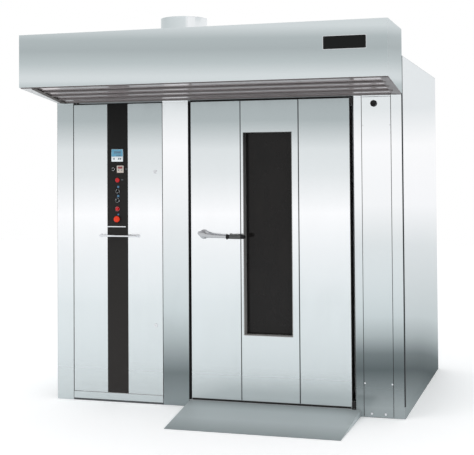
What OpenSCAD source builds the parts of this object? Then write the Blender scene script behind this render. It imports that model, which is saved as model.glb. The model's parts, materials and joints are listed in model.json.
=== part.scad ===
// Rotating rack oven: a walk-in bakery oven with a service bay on its left, a hinged main door
// with a tall window, a steam hood over the front and a ramp for the rack.
// X runs across the front, Y from front to back and Z up, in millimetres. The origin is on the
// floor, under the middle of the whole oven with its ramp.

/* [Body] */
// Width of the body
body_w = 2250; // [2235:1:2500]
// Depth of the body, without hood and ramp
body_d = 1700; // [1600:1:2000]
// Height of the roof
body_h = 2145; // [2120:1:2400]
// Height of the base frame
base_h = 40; // [30:1:60]
// Width of a base frame bar
base_bar = 60; // [40:1:80]
// Thickness of the outer sheets
sheet_t = 2; // [1.5:0.5:3]
// Thickness of the chamber's sheets
liner_t = 3; // [2:0.5:4]
// Thickness of the wall insulation
insul_t = 100; // [60:1:110]
// Screw head radius on the service panel
screw_r = 5; // [4:0.5:6]

/* [Front layout, from left to right] */
// Width of the left stile
stile_w = 115; // [80:1:130]
// Width of the service bay's opening
bay_w = 618; // [560:1:630]
// Width of the centre pillar
pillar_w = 172; // [150:1:180]
// Gap between the pillar and the main door, filled by the black seal
seal_gap = 17; // [14:1:20]
// Gap between the main door and the jamb, where the hinges are
hinge_gap = 25; // [24:1:30]
// Width of the hinge jamb
jamb_w = 48; // [40:1:54]
// Width of the service panel
service_w = 177; // [150:1:184]
// Depth of the folded edges of the front sheets
fold_d = 30; // [20:1:40]
// Width of the corner stile
corner_w = 68; // [60:1:120]
// Height of the lintel band
lintel_h = 239; // [220:1:300]
// Gap between the door tops and the lintel
lintel_gap = 6; // [5:1:10]

/* [Main door] */
// Thickness of the main door leaf
leaf_t = 90; // [86:1:110]
// Gap under the main door
leaf_gap = 4; // [3:1:8]
// Step of the leaf's back behind its free edge
leaf_step = 6; // [5:1:10]
// Width of the edge frame's bars
edge_w = 30; // [25:1:45]
// Width of the left skin
skin_left_w = 324; // [310:1:328]
// How much wider the middle skin is than the right skin
middle_over = 52; // [0:1:100]
// Gap between two skins
seam = 2; // [1:0.5:3]
// Left edge of the window from the leaf's free edge
window_x = 342; // [338:1:345]
// Strip of the middle skin on the right of the window
window_side = 41; // [30:1:80]
// Bottom of the window above the leaf's bottom
window_z = 407; // [300:1:500]
// Top of the window below the leaf's top
window_top = 197; // [150:1:400]
// Wall thickness of the window frame
window_frame_t = 3; // [2:0.5:4]
// Depth of the outer pane behind the door's face
window_recess = 58; // [50:1:60]
// Thickness of a pane
glass_t = 6; // [4:1:8]
// Thickness of the seal between the leaf and the door frame
seal_t = 10; // [8:1:14]
// Width of the seal's strips
seal_w = 20; // [15:1:30]

/* [Lever] */
// Lever pivot from the leaf's free edge
lever_x = 87; // [80:1:110]
// Lever pivot above the leaf's bottom
lever_z = 1026; // [950:1:1100]
// Distance from the pivot to the start of the grip
lever_arm = 158; // [140:1:180]
// Length of the grip
grip_l = 122; // [110:1:135]
// Radius of the grip
grip_r = 14; // [12:1:16]
// Height of the lever above the door's face
lever_out = 42; // [38:1:60]
// Radius of the lever's boss
boss_r = 24; // [20:1:28]
// Radius of the spindle
spindle_r = 9; // [7:1:10]

/* [Service bay door] */
// Thickness of the bay door
bay_door_t = 40; // [35:1:50]
// Gap at the hinge edge of the bay door
bay_hinge_gap = 5; // [5:0.5:7]
// Gap at the free edge of the bay door
bay_free_gap = 3; // [3:0.5:5]
// Gap between the base frame and the bay door
bay_door_gap = 18; // [14:1:24]
// Height of the kick plate's lower edge
kick_z = 12; // [8:1:16]
// Width of the black strip
strip_w = 143; // [110:1:150]
// Left edge of the black strip from the opening's left edge
strip_x = 239; // [230:1:250]
// Length of the pull bar
pull_l = 252; // [200:1:280]
// Radius of the pull bar
pull_r = 6; // [5:0.5:8]
// Height of the pull bar
pull_z = 1057; // [1000:1:1080]
// Distance of the pull bar from the door's face
pull_out = 38; // [30:1:50]
// Heights of the two cam locks
lock_z = [494, 1463]; // [400:1:1500]
// Distance of the cam locks from the pillar
lock_x = 50; // [44:1:54]

/* [Controls] */
// Side of the controller's bezel
controller_s = 80; // [70:1:84]
// Middle height of the controller
controller_z = 1570; // [1560:1:1600]
// Side of the timer's bezel
timer_s = 46; // [40:1:48]
// Middle height of the timer and of the small knob
timer_z = 1482; // [1475:1:1490]
// Height of the indicator lamp
indicator_z = 1412; // [1405:1:1420]
// Heights of the upper selector, lower selector, push button and emergency stop
switch_z = [1341, 1283, 1228, 1163]; // [1150:1:1350]
// Radius of a switch bezel
bezel_r = 14.5; // [13:0.5:16]
// Radius of a switch barrel behind the bezel
barrel_r = 11; // [10:0.5:12]
// Radius of the emergency stop's head
stop_r = 20; // [18:0.5:21]

/* [Hood and ramp] */
// How far the hood stands out from the body
hood_d = 515; // [450:1:560]
// Height of the hood's top above the roof
hood_rise = 155; // [120:1:200]
// Gap between the lintel and the hood's lower rear edge
hood_gap = 12; // [10:1:20]
// How much higher the hood's front edge is than its rear edge
hood_slope = 62; // [40:1:90]
// Number of slats under the hood
slat_count = 4; // [3:1:6]
// Gap between two slats
slat_gap = 10; // [8:1:20]
// Radius of the exhaust collar
collar_r = 140; // [100:1:150]
// Height of the exhaust collar above the hood
collar_h = 85; // [60:1:120]
// Collar centre from the body's left edge
collar_x = 975; // [400:1:1200]
// Length of the ramp
ramp_l = 600; // [550:1:700]
// How much wider the ramp is than the leaf
ramp_over = 65; // [0:1:80]
// How much narrower the ramp is at its toe, on the latch side
ramp_slant = 50; // [0:1:80]
// Thickness of the ramp's plate
ramp_t = 5; // [4:1:8]

/* [Chamber] */
// How far the baking chamber reaches past each side of the leaf
chamber_side = 95; // [85:1:97]
// Depth of the baking chamber
chamber_d = 1246; // [1200:1:1260]
// Height between the chamber's ceiling and the roof's top
roof_gap = 197; // [180:1:240]
// Thickness of the floor sheet
floor_t = 3; // [2:0.5:4]
// Thickness of the door frame behind the seal
frame_t = 4; // [3:0.5:6]
// Depth of the service bay
bay_d = 350; // [330:1:380]
// Width of an air slot
slot_w = 14; // [10:1:20]
// Height of an air slot
slot_h = 120; // [80:1:130]
// Number of columns of air slots
slot_columns = 5; // [3:1:6]
// Number of rows of air slots
slot_rows = 10; // [6:1:11]
// Radius of a chamber lamp
lamp_r = 60; // [50:1:70]

/* [Rack drive] */
// Radius of the drive shaft
shaft_r = 20; // [15:1:25]
// Length of the hook beam
hook_l = 760; // [600:1:900]
// Distance between the two hooks
hook_pitch = 420; // [300:1:500]
// Height of the drive stand
stand_h = 100; // [90:1:140]
// Radius of the rack motor
motor_r = 62; // [50:1:70]

/* [Heating] */
// Radius of the combustion drum
drum_r = 170; // [140:1:180]
// Radius of a heat exchanger tube
tube_r = 30; // [25:1:35]
// Number of tubes across
tube_columns = 4; // [3:1:5]
// Number of tubes upwards
tube_rows = 6; // [4:1:7]
// Radius of the flue
flue_r = 60; // [50:1:62]
// Height of the flue above the roof
flue_h = 220; // [150:1:260]
// Radius of the circulation fan
fan_r = 240; // [200:1:260]
// Height of the circulation fan
fan_h = 150; // [100:1:170]
// Number of fan blades
blade_count = 16; // [10:1:20]

/* [Hidden] */
$fn = 64;
clear = 0.05;
seam_gap = 0.1;
run_gap = 0.3;

// places across the front
x_left = -body_w / 2;
x_right = body_w / 2;
x_bay = x_left + stile_w;
x_pillar = x_bay + bay_w;
x_seal = x_pillar + pillar_w;
x_leaf = x_seal + seal_gap;
x_corner = x_right - corner_w;
x_service = x_corner - service_w;
x_jamb = x_service - jamb_w;
x_leaf_end = x_jamb - hinge_gap;
leaf_w = x_leaf_end - x_leaf;
chamber_w = leaf_w + 2 * chamber_side;
ramp_w = leaf_w + ramp_over;
x_axis = x_leaf + leaf_w / 2;

// places from front to back
y_front = (ramp_l - body_d) / 2;
y_back = y_front + body_d;
y_skin = y_front + sheet_t;
y_leaf_back = y_front + leaf_t;
y_frame = y_leaf_back + seal_t;
y_chamber = y_frame + frame_t;
y_chamber_end = y_chamber + chamber_d;
y_bulkhead = y_front + bay_d;
y_plenum = y_bulkhead + liner_t + insul_t;
y_plenum_end = y_back - sheet_t - insul_t;
y_axis = y_chamber + chamber_d / 2;
y_hood = y_front - hood_d;

// heights
z_floor = base_h + floor_t;
z_leaf = z_floor + leaf_gap;
z_lintel = body_h - lintel_h;
z_leaf_top = z_lintel - lintel_gap;
z_ceiling = body_h - roof_gap;
chamber_h = z_ceiling - z_floor;
z_roof = body_h - sheet_t;
z_bay_door = base_h + bay_door_gap;
z_hood_rear = z_lintel + hood_gap;
z_hood_front = z_hood_rear + hood_slope;
z_hood_top = body_h + hood_rise;

// chamber and plenum
x_chamber = x_axis - chamber_w / 2;
x_chamber_end = x_axis + chamber_w / 2;
x_air_wall = x_chamber - liner_t;
x_plenum = x_left + sheet_t + insul_t;
x_insul_end = x_chamber_end + liner_t + insul_t;
x_partition = x_pillar;
x_heat = (x_plenum + x_air_wall) / 2;
y_heat = (y_plenum + y_plenum_end) / 2;

// door opening behind the seal
x_open = x_leaf + seal_w;
x_open_end = x_leaf_end - seal_w;
z_open = z_leaf_top - seal_w;

// hinges
pin_r = 5;
knuckle_r = 10;
knuckle_h = 40;
knuckle_wall = 3;
pivot_set = 5;
x_pivot = x_leaf_end + hinge_gap / 2;
y_pivot = y_front + pivot_set;
bay_pivot_set = 10;
x_bay_door = x_bay + bay_hinge_gap;
x_bay_door_end = x_pillar - bay_free_gap;
x_bay_pivot = x_bay_door + bay_pivot_set;
y_bay_pivot = y_front + bay_pivot_set;
y_bay_back = y_front + bay_door_t;
bracket_w = 22;
bracket_t = 5;
pin_gap = 0.5;

// front sheets
bay_stop_w = 12;
screw_shank_r = 2;
screw_head_h = 2;
screw_inset = 7;
screw_low = 200;
screw_drop = 173;
screw_z = [screw_low, (screw_low + z_lintel - screw_drop) / 2, z_lintel - screw_drop];
bolt_head_r = 7;
bolt_head_h = 3;
bolt_spread = 41;
bolt_z = 22;

// main door
x_window = x_leaf + window_x;
z_window = z_leaf + window_z;
window_h = z_leaf_top - window_top - z_window;
x_skin_middle = x_leaf + skin_left_w + seam;
skin_middle_w = (x_leaf_end - x_skin_middle - seam + middle_over) / 2;
window_w = x_skin_middle + skin_middle_w - window_side - x_window;
x_skin_right = x_skin_middle + skin_middle_w + seam;
rebate_d = 12;
x_lever = x_leaf + lever_x;
y_lever = y_front - lever_out;
z_lever = z_leaf + lever_z;
arm_drop = 12;
z_grip = z_lever - arm_drop;
x_grip = x_lever + lever_arm;
tang_r = 6;
grip_cap = 30;
spindle_end = 3;
bolt_t = 10;
bolt_h = 32;
bolt_out = 4.5;
bolt_tail = 22;
bolt_travel = 8;
bolt_y = 30;
y_bolt = y_front + bolt_y;
latch_gap = 1;

// service bay door and controls
x_strip = x_bay + strip_x;
x_controls = x_strip + strip_w / 2;
timer_shift = 20;
small_knob_shift = 29;
x_timer = x_controls + timer_shift;
x_small_knob = x_controls - small_knob_shift;
x_lock = x_pillar - lock_x;
lock_r = 9;
stop_lip_gap = 2;
y_stop_lip = y_bay_back + stop_lip_gap;
y_tongue = y_stop_lip + sheet_t + pin_gap;
tongue_t = 3;
tongue_l = lock_x - stop_lip_gap - tongue_t;
fascia_t = 1.5;
fascia_inset = 7;
fascia_z = 1117;
fascia_h = 496;
y_face = y_front - fascia_t;
pull_shift = 14;
instrument_d = 60;
controller_lip = 6;
controller_t = 5;
timer_lip = 4;
bezel_t = 4;
head_r = 10.5;
stem_r = 5;
stem_l = 16;
stop_travel = 5;
switch_d = 34;
small_knob_r = 9;
small_barrel_r = 7;
block_rim = 3;
small_rim = 2;

// service panel
service_knob_x = 75;
x_service_knob = x_service + service_knob_x;
service_knob_drop = 43;
z_service_knob = z_lintel - service_knob_drop;
knob_r = 20;
knob_h = 22;
knob_stem_r = 5;
bolt_shank_r = 4;

// hood and ramp
x_collar = x_left + collar_x;
y_collar = y_hood + hood_d / 2;
collar_flange = 25;
ramp_shift = 20;
x_ramp = x_axis - ramp_w / 2 + ramp_shift;

// chamber, heating and drive
slot_margin = 60;
slot_gap = 20;
lamp_z = [600, 1400];
lamp_y = 130;
y_lamp = y_chamber + lamp_y;
lamp_d = 60;
deck_drop = 260;
z_deck = z_ceiling - deck_drop;
y_fan = y_heat;
fan_shaft_r = 14;
shaft_gap = 6;
fan_gap = 12;
blade_d = 60;
motor_lift = 30;
z_motor = body_h + motor_lift;
shaft_end = 60;
nose_r = 55;
drum_gap = 60;
z_drum = z_floor + drum_gap + drum_r;
header_w = 460;
header_gap = 20;
header_d = 2 * flue_r + header_gap;
y_rear_header = y_plenum_end - header_gap - header_d;
y_flue = y_rear_header + header_d / 2;
flue_t = 3;
tube_pitch = 95;
tube_lift = 160;
z_tubes = z_drum + drum_r + tube_lift;
z_tubes_end = z_tubes + (tube_rows - 1) * tube_pitch;
water_x = 200;
water_y = 110;
x_water = x_chamber_end - water_x;
y_water = y_plenum_end - water_y;
water_r = 8;
tray_l = 300;
tray_w = 120;
tray_h = 40;
nipple_r = 10.5;
nipple_l = 25;
stand_w = 180;
stand_t = 6;
bearing_h = 30;
gearbox_h = 130;
gear_cap = 20;
shaft_end_gap = 10;
hub_h = 50;
hub_cap = 12;
z_hub = z_ceiling - hub_h - hub_cap;
electrics_z = 750;
electrics_h = 900;

// slab between two opposite corners
module slab(a, b) {
    translate(a)
        cube(b - a);
}

// cylinders along X, Y and Z that start at p
module rod_x(p, r, l) {
    translate(p)
        rotate([0, 90, 0])
            cylinder(h = l, r = r);
}

module rod_y(p, r, l) {
    translate(p)
        rotate([-90, 0, 0])
            cylinder(h = l, r = r);
}

module rod_z(p, r, l) {
    translate(p)
        cylinder(h = l, r = r);
}

// profile in Y and Z, drawn out along X from x over the length w
module profile_yz(x, w, points) {
    translate([x, 0, 0])
        rotate([90, 0, 90])
            linear_extrude(height = w)
                polygon(points);
}

// upright front sheet with folded edges: x0 to x1, z0 to z1, folds of the given depths
module front_sheet(x0, x1, z0, z1, left_d, right_d) {
    slab([x0, y_front, z0], [x1, y_skin, z1]);
    if (left_d > 0)
        slab([x0, y_front, max(z0, base_h)], [x0 + sheet_t, y_skin + left_d, z1]);
    if (right_d > 0)
        slab([x1 - sheet_t, y_front, max(z0, base_h)], [x1, y_skin + right_d, z1]);
}

// ---- base and outer casing ----

module base_frame() {
    y0 = y_skin;
    y1 = y_back - sheet_t;
    x0 = x_left + sheet_t;
    x1 = x_right - sheet_t;
    bars = [x0, x_pillar + base_bar, x_chamber_end, x1 - base_bar];
    color("dimgray") {
        slab([x0, y0, 0], [x1, y0 + base_bar, base_h]);
        slab([x0, y1 - base_bar, 0], [x1, y1, base_h]);
        for (x = bars)
            slab([x, y0, 0], [x + base_bar, y1, base_h]);
    }
}

module outer_panels() {
    color("silver") {
        for (x = [x_left, x_right - sheet_t])
            slab([x, y_skin, 0], [x + sheet_t, y_back, z_roof]);
        slab([x_left + sheet_t + seam_gap, y_back - sheet_t, 0],
            [x_right - sheet_t - seam_gap, y_back, z_roof]);
    }
}

module roof_panel() {
    color("silver")
        difference() {
            slab([x_left, y_front, z_roof], [x_right, y_back, body_h]);
            roof_holes(z_roof);
        }
}

// ---- front ----

module centre_pillar() {
    color("silver") {
        front_sheet(x_pillar, x_seal, 0, z_lintel, y_frame - y_skin, y_frame - y_skin);
        slab([x_pillar - bay_stop_w, y_stop_lip, z_bay_door],
            [x_pillar - seam_gap, y_stop_lip + sheet_t, z_lintel]);
    }
}

// holes for the service panel's screws, cut through the flanges behind it
module service_screw_holes(r) {
    for (x = [x_service + screw_inset, x_corner - screw_inset], z = screw_z)
        rod_y([x, y_front - 1, z], r, fold_d);
}

// flange that lies behind an edge of the service panel
module front_flange(x0, x1) {
    slab([x0, y_skin, base_h], [x1, y_skin + sheet_t, z_lintel]);
}

// left stile, hinge jamb and corner stile
module front_stiles() {
    color("silver") {
        front_sheet(x_left, x_bay, 0, z_lintel, 0, fold_d);
        difference() {
            union() {
                front_sheet(x_jamb, x_service, 0, z_lintel, y_frame - y_skin, 0);
                front_sheet(x_corner, x_right, 0, z_lintel, 0, 0);
                front_flange(x_service - sheet_t, x_service + 2 * screw_inset);
                front_flange(x_corner - 2 * screw_inset, x_corner + sheet_t);
            }
            service_screw_holes(screw_shank_r + clear);
        }
    }
}

module lintel() {
    color("silver") {
        slab([x_left, y_front, z_lintel], [x_right, y_skin, z_roof]);
        slab([x_left + sheet_t, y_skin - sheet_t, z_lintel],
            [x_right - sheet_t, y_frame, z_lintel + sheet_t]);
    }
}

// upright frame round the doorway that the seal presses on
module door_frame() {
    color("silver")
        difference() {
            slab([x_chamber, y_frame, z_floor], [x_chamber_end, y_chamber, z_ceiling]);
            slab([x_open, y_frame - 1, z_floor - 1], [x_open_end, y_chamber + 1, z_open]);
        }
}

module kick_plate() {
    color("dimgray")
        slab([x_bay + bay_free_gap, y_front, kick_z],
            [x_pillar - bay_free_gap, y_skin, z_bay_door - bay_free_gap]);
}

module service_panel() {
    gap = 1;
    floor_gap = 2;
    color("silver")
        difference() {
            slab([x_service + gap, y_front, floor_gap], [x_corner - gap, y_skin, z_lintel - floor_gap]);
            service_screw_holes(screw_shank_r + clear);
            rod_y([x_service_knob, y_front - 1, z_service_knob], knob_stem_r + clear, sheet_t + 2);
            for (side = [-1, 1])
                rod_y([(x_service + x_corner) / 2 + side * bolt_spread, y_front - 1, bolt_z],
                    bolt_shank_r + clear, sheet_t + 2);
        }
}

module panel_screws() {
    color("gainsboro") {
        for (x = [x_service + screw_inset, x_corner - screw_inset], z = screw_z) {
            rod_y([x, y_front - screw_head_h, z], screw_r, screw_head_h);
            rod_y([x, y_front - screw_head_h, z], screw_shank_r, screw_head_h + 3 * sheet_t);
        }
        for (side = [-1, 1])
            translate([(x_service + x_corner) / 2 + side * bolt_spread, 0, bolt_z]) {
                rod_y([0, y_front - bolt_head_h, 0], bolt_head_r, bolt_head_h);
                rod_y([0, y_front - bolt_head_h, 0], bolt_shank_r, bolt_head_h + sheet_t);
            }
    }
}

module service_knob() {
    color("black") {
        rod_y([x_service_knob, y_front - knob_h, z_service_knob], knob_r, knob_h - run_gap);
        rod_y([x_service_knob, y_front - knob_h, z_service_knob], knob_stem_r, knob_h + fold_d);
    }
}

module door_seal() {
    strip = seal_gap - leaf_step - latch_gap;
    y0 = y_leaf_back;
    z1 = z_open - seam_gap;
    color("black") {
        slab([x_seal, y_front, z_floor], [x_seal + strip, y0, z_lintel]);
        slab([x_leaf, y0, z_leaf], [x_open, y_frame, z1]);
        slab([x_open_end, y0, z_leaf], [x_leaf_end, y_frame, z1]);
        slab([x_leaf, y0, z_open], [x_leaf_end, y_frame, z_leaf_top]);
        slab([x_jamb - 2 * sheet_t, y_pivot + knuckle_r + sheet_t, z_leaf], [x_jamb, y0, z_leaf_top]);
    }
}

module hinge_bracket(x, y, y0, y1, z0, z1) {
    difference() {
        slab([x - bracket_w / 2, y0, z0], [x + bracket_w / 2, y1, z1]);
        rod_z([x, y, z0 - 1], pin_r + clear, z1 - z0 + 2);
    }
}

module hinge_brackets() {
    color("gray") {
        y_main = y_pivot - knuckle_r;
        z_top = z_lintel - bracket_t;
        hinge_bracket(x_pivot, y_pivot, y_main, y_frame, z_top, z_lintel);
        hinge_bracket(x_pivot, y_pivot, y_main, y_frame, base_h, z_leaf - pin_gap);
        hinge_bracket(x_bay_pivot, y_bay_pivot, y_skin, y_bay_back, z_top, z_lintel);
        hinge_bracket(x_bay_pivot, y_bay_pivot, y_skin, y_bay_back, base_h, z_bay_door - pin_gap);
    }
}

// ---- hood and ramp ----

module hood_side(x) {
    profile_yz(x, sheet_t, [
        [y_hood, z_hood_front], [y_front, z_hood_rear],
        [y_front, z_hood_top], [y_hood, z_hood_top]
    ]);
}

module hood_shell() {
    color("silver")
        difference() {
            union() {
                slab([x_left, y_hood, z_hood_front], [x_right, y_hood + sheet_t, z_hood_top]);
                slab([x_left, y_front - sheet_t, z_hood_rear], [x_right, y_front, z_hood_top]);
                slab([x_left, y_hood, z_hood_top - sheet_t], [x_right, y_front, z_hood_top]);
                hood_side(x_left);
                hood_side(x_right - sheet_t);
            }
            rod_z([x_collar, y_collar, z_hood_top - sheet_t - 1], collar_r, sheet_t + 2);
        }
}

module hood_baffles() {
    depth = hood_d - 2 * sheet_t;
    tilt = atan(hood_slope / hood_d);
    length = depth / cos(tilt) - sheet_t;
    slat_d = (length - (slat_count - 1) * slat_gap) / slat_count;
    rails = 6;
    rail_w = 12;
    span = body_w - 2 * sheet_t;
    color("gray")
        translate([x_left + sheet_t, y_hood + sheet_t, z_hood_front])
            rotate([-tilt, 0, 0]) {
                for (i = [0:slat_count - 1])
                    translate([0, i * (slat_d + slat_gap), 0])
                        cube([span, slat_d, sheet_t]);
                for (i = [0:rails - 1])
                    translate([i * (span - rail_w) / (rails - 1), 0, sheet_t])
                        cube([rail_w, length, sheet_t]);
            }
}

module exhaust_collar() {
    color("lightgray")
        difference() {
            union() {
                rod_z([x_collar, y_collar, z_hood_top], collar_r, collar_h);
                rod_z([x_collar, y_collar, z_hood_top], collar_r + collar_flange, sheet_t);
            }
            rod_z([x_collar, y_collar, z_hood_top - 1], collar_r - sheet_t, collar_h + 2);
        }
}

module entry_ramp() {
    foot = ramp_l * ramp_t / base_h;
    y_toe = y_front - ramp_l;
    color("darkgray") {
        difference() {
            profile_yz(x_ramp, ramp_w, [
                [y_toe, 0], [y_toe + foot, 0], [y_front, base_h - ramp_t], [y_front, base_h]
            ]);
            translate([x_ramp, 0, -1])
                linear_extrude(height = base_h + 2)
                    polygon([[-1, y_front + 1], [0, y_front], [ramp_slant, y_toe], [-1, y_toe - 1]]);
        }
        for (x = [x_ramp + ramp_slant, x_ramp + ramp_w / 2, x_ramp + ramp_w - ramp_t])
            profile_yz(x, ramp_t, [[y_toe + foot, 0], [y_front, 0], [y_front, base_h - ramp_t]]);
    }
}

// ---- chamber ----

// holes that the shafts and pipes need through roof, insulation and ceiling
module roof_holes(z) {
    h = body_h - z_deck + 10;
    rod_z([x_axis, y_axis, z - 1], shaft_r + shaft_gap, h);
    rod_z([x_heat, y_fan, z - 1], fan_shaft_r + shaft_gap, h);
    rod_z([x_heat, y_flue, z - 1], flue_r + run_gap, h);
    rod_z([x_water, y_water, z - 1], water_r + run_gap, h);
}

module chamber_floor() {
    color("silver") {
        slab([x_seal, y_front, base_h], [x_leaf_end, y_frame, z_floor]);
        slab([x_air_wall, y_frame, base_h], [x_chamber_end, y_plenum_end, z_floor]);
        slab([x_plenum, y_plenum, base_h], [x_air_wall, y_plenum_end, z_floor]);
    }
}

// upright slots in a wall that stands across X, from y over slot_columns columns
module slot_rows_x(x, y, pitch) {
    rise = (chamber_h - slot_h) / slot_rows;
    for (i = [0:slot_columns - 1], j = [0:slot_rows - 1])
        slab([x - 1, y + i * pitch, z_floor + slot_h / 2 + j * rise],
            [x + liner_t + 1, y + i * pitch + slot_w, z_floor + 1.5 * slot_h + j * rise - slot_gap]);
}

module air_wall() {
    pitch = (y_chamber_end - y_plenum - 2 * slot_margin - slot_w) / (slot_columns - 1);
    color("lightgray")
        difference() {
            slab([x_air_wall, y_frame, z_floor], [x_chamber, y_chamber_end, z_ceiling]);
            slot_rows_x(x_air_wall, y_plenum + slot_margin, pitch);
        }
}

module chamber_walls() {
    grille_n = 12;
    grille_w = chamber_w / 2;
    color("lightgray")
        difference() {
            union() {
                slab([x_chamber_end, y_frame, base_h],
                    [x_chamber_end + liner_t, y_plenum_end, z_ceiling - seam_gap]);
                slab([x_air_wall, y_chamber_end, z_floor],
                    [x_chamber_end - seam_gap, y_chamber_end + liner_t, z_ceiling - seam_gap]);
                slab([x_air_wall, y_frame, z_ceiling],
                    [x_chamber_end + liner_t, y_plenum_end, z_ceiling + liner_t]);
                slab([x_plenum, y_plenum, z_ceiling],
                    [x_air_wall, y_plenum_end, z_ceiling + liner_t]);
            }
            for (i = [0:grille_n - 1], z = [z_floor + slot_h, z_ceiling - 3 * slot_h])
                slab([x_axis - grille_w / 2 + i * grille_w / grille_n, y_chamber_end - 1, z],
                    [x_axis - grille_w / 2 + i * grille_w / grille_n + slot_w,
                        y_chamber_end + liner_t + 1, z + 2 * slot_h]);
            for (z = lamp_z)
                rod_x([x_chamber_end - 1, y_lamp, z], lamp_r + run_gap, liner_t + 2);
            roof_holes(z_ceiling);
        }
}

module bay_bulkhead() {
    color("lightgray")
        difference() {
            union() {
                slab([x_left + sheet_t, y_bulkhead, base_h],
                    [x_partition + sheet_t, y_bulkhead + liner_t, z_roof]);
                slab([x_partition, y_frame, base_h], [x_partition + sheet_t, y_bulkhead, z_roof]);
            }
            rod_y([x_heat, y_bulkhead - 1, z_drum], nose_r + run_gap, liner_t + 2);
        }
}

module insulation() {
    z1 = z_ceiling + liner_t;
    y0 = y_bulkhead + liner_t;
    y1 = y_back - sheet_t;
    color("khaki")
        difference() {
            union() {
                slab([x_left + sheet_t, y0, base_h], [x_plenum, y1, z_roof]);
                slab([x_plenum, y_plenum_end, base_h], [x_insul_end, y1, z_roof]);
                slab([x_chamber_end + liner_t, y_frame, base_h],
                    [x_insul_end, y_plenum_end, z_roof]);
                slab([x_plenum, y0, base_h], [x_air_wall, y_plenum, z_roof]);
                slab([x_partition + sheet_t, y_frame, base_h], [x_air_wall, y0, z_roof]);
                slab([x_air_wall, y_frame, z1], [x_chamber_end + liner_t, y_plenum_end, z_roof]);
                slab([x_plenum, y_plenum, z1], [x_air_wall, y_plenum_end, z_roof]);
            }
            roof_holes(z1);
            rod_y([x_heat, y0 - 1, z_drum], nose_r + run_gap, insul_t + 2);
            for (z = lamp_z)
                rod_x([x_chamber_end + liner_t - 1, y_lamp, z], lamp_r + run_gap, lamp_d + 1);
        }
}

module chamber_lamps() {
    x0 = x_chamber_end + glass_t + seam_gap;
    case_l = lamp_d - glass_t;
    for (z = lamp_z) {
        color("ivory")
            rod_x([x_chamber_end, y_lamp, z], lamp_r, glass_t);
        color("gray")
            difference() {
                rod_x([x0, y_lamp, z], lamp_r, case_l);
                rod_x([x0 - 1, y_lamp, z], lamp_r - liner_t, case_l - liner_t + 1);
            }
    }
}

// ---- heating, steam and rack drive ----

// headers, drum and tubes of the heat exchanger, drawn smaller by the inset w
module exchanger_shape(w) {
    half = header_w / 2 - w;
    for (y = [y_plenum + run_gap, y_rear_header])
        slab([x_heat - half, y + w, z_tubes - tube_pitch + w],
            [x_heat + half, y + header_d - w, z_tubes_end + tube_pitch - w]);
    slab([x_heat - half, y_rear_header + w, z_drum - drum_r / 2 + w],
        [x_heat + half, y_rear_header + header_d - w, z_tubes]);
    rod_y([x_heat, y_plenum + run_gap + w, z_drum], drum_r - w,
        y_rear_header - y_plenum - run_gap + (w > 0 ? w : 0));
    for (i = [0:tube_columns - 1], z = [z_tubes:tube_pitch:z_tubes_end])
        rod_y([x_heat + (i - (tube_columns - 1) / 2) * tube_pitch, y_plenum + header_d, z],
            tube_r - w, y_rear_header - y_plenum - header_d + 2 * w);
}

module heat_exchanger() {
    wall = 4;
    color("dimgray") {
        difference() {
            exchanger_shape(0);
            exchanger_shape(wall);
            rod_y([x_heat, y_plenum - 1, z_drum], nose_r + run_gap, 3 * wall);
            rod_z([x_heat, y_flue, z_tubes_end], flue_r - flue_t, header_w);
        }
        for (y = [y_plenum + header_w, y_rear_header - header_w])
            difference() {
                slab([x_heat - drum_r, y, z_floor], [x_heat + drum_r, y + wall, z_drum]);
                rod_y([x_heat, y - 1, z_drum], drum_r, wall + 2);
            }
    }
}

module flue_pipe() {
    z0 = z_tubes_end + tube_pitch;
    cap_r = flue_r + 30;
    cap_h = 30;
    color("gray")
        difference() {
            union() {
                rod_z([x_heat, y_flue, z0], flue_r, body_h + flue_h - z0);
                rod_z([x_heat, y_flue, body_h], cap_r, cap_h);
            }
            rod_z([x_heat, y_flue, z0 - 1], flue_r - flue_t, body_h + flue_h - z0 + 2);
        }
}

module burner() {
    flange_t = 6;
    flange_r = nose_r + 40;
    half_w = 110;
    case_l = 150;
    case_low = 80;
    case_high = 150;
    blower_r = 60;
    blower_l = 70;
    pump_r = 45;
    pump_l = 60;
    nose_l = insul_t + liner_t + 90;
    y0 = y_bulkhead - flange_t;
    y_mid = y0 - case_l / 2;
    color("firebrick") {
        rod_y([x_heat, y0, z_drum], flange_r, flange_t);
        slab([x_heat - half_w, y0 - case_l, z_drum - case_low],
            [x_heat + half_w, y0, z_drum + case_high]);
        rod_x([x_heat + half_w, y_mid, z_drum + blower_r], blower_r, blower_l);
        rod_x([x_heat - half_w - pump_l, y_mid, z_drum], pump_r, pump_l);
    }
    color("gray")
        difference() {
            rod_y([x_heat, y_bulkhead, z_drum], nose_r, nose_l);
            rod_y([x_heat, y_bulkhead + 1, z_drum], nose_r - liner_t, nose_l);
        }
}

module fan_deck() {
    color("lightgray")
        difference() {
            slab([x_plenum, y_plenum, z_deck], [x_air_wall, y_plenum_end, z_deck + liner_t]);
            rod_z([x_heat, y_fan, z_deck - 1], fan_r - blade_d, liner_t + 2);
            rod_z([x_heat, y_flue, z_deck - 1], flue_r + run_gap, liner_t + 2);
        }
}

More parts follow.
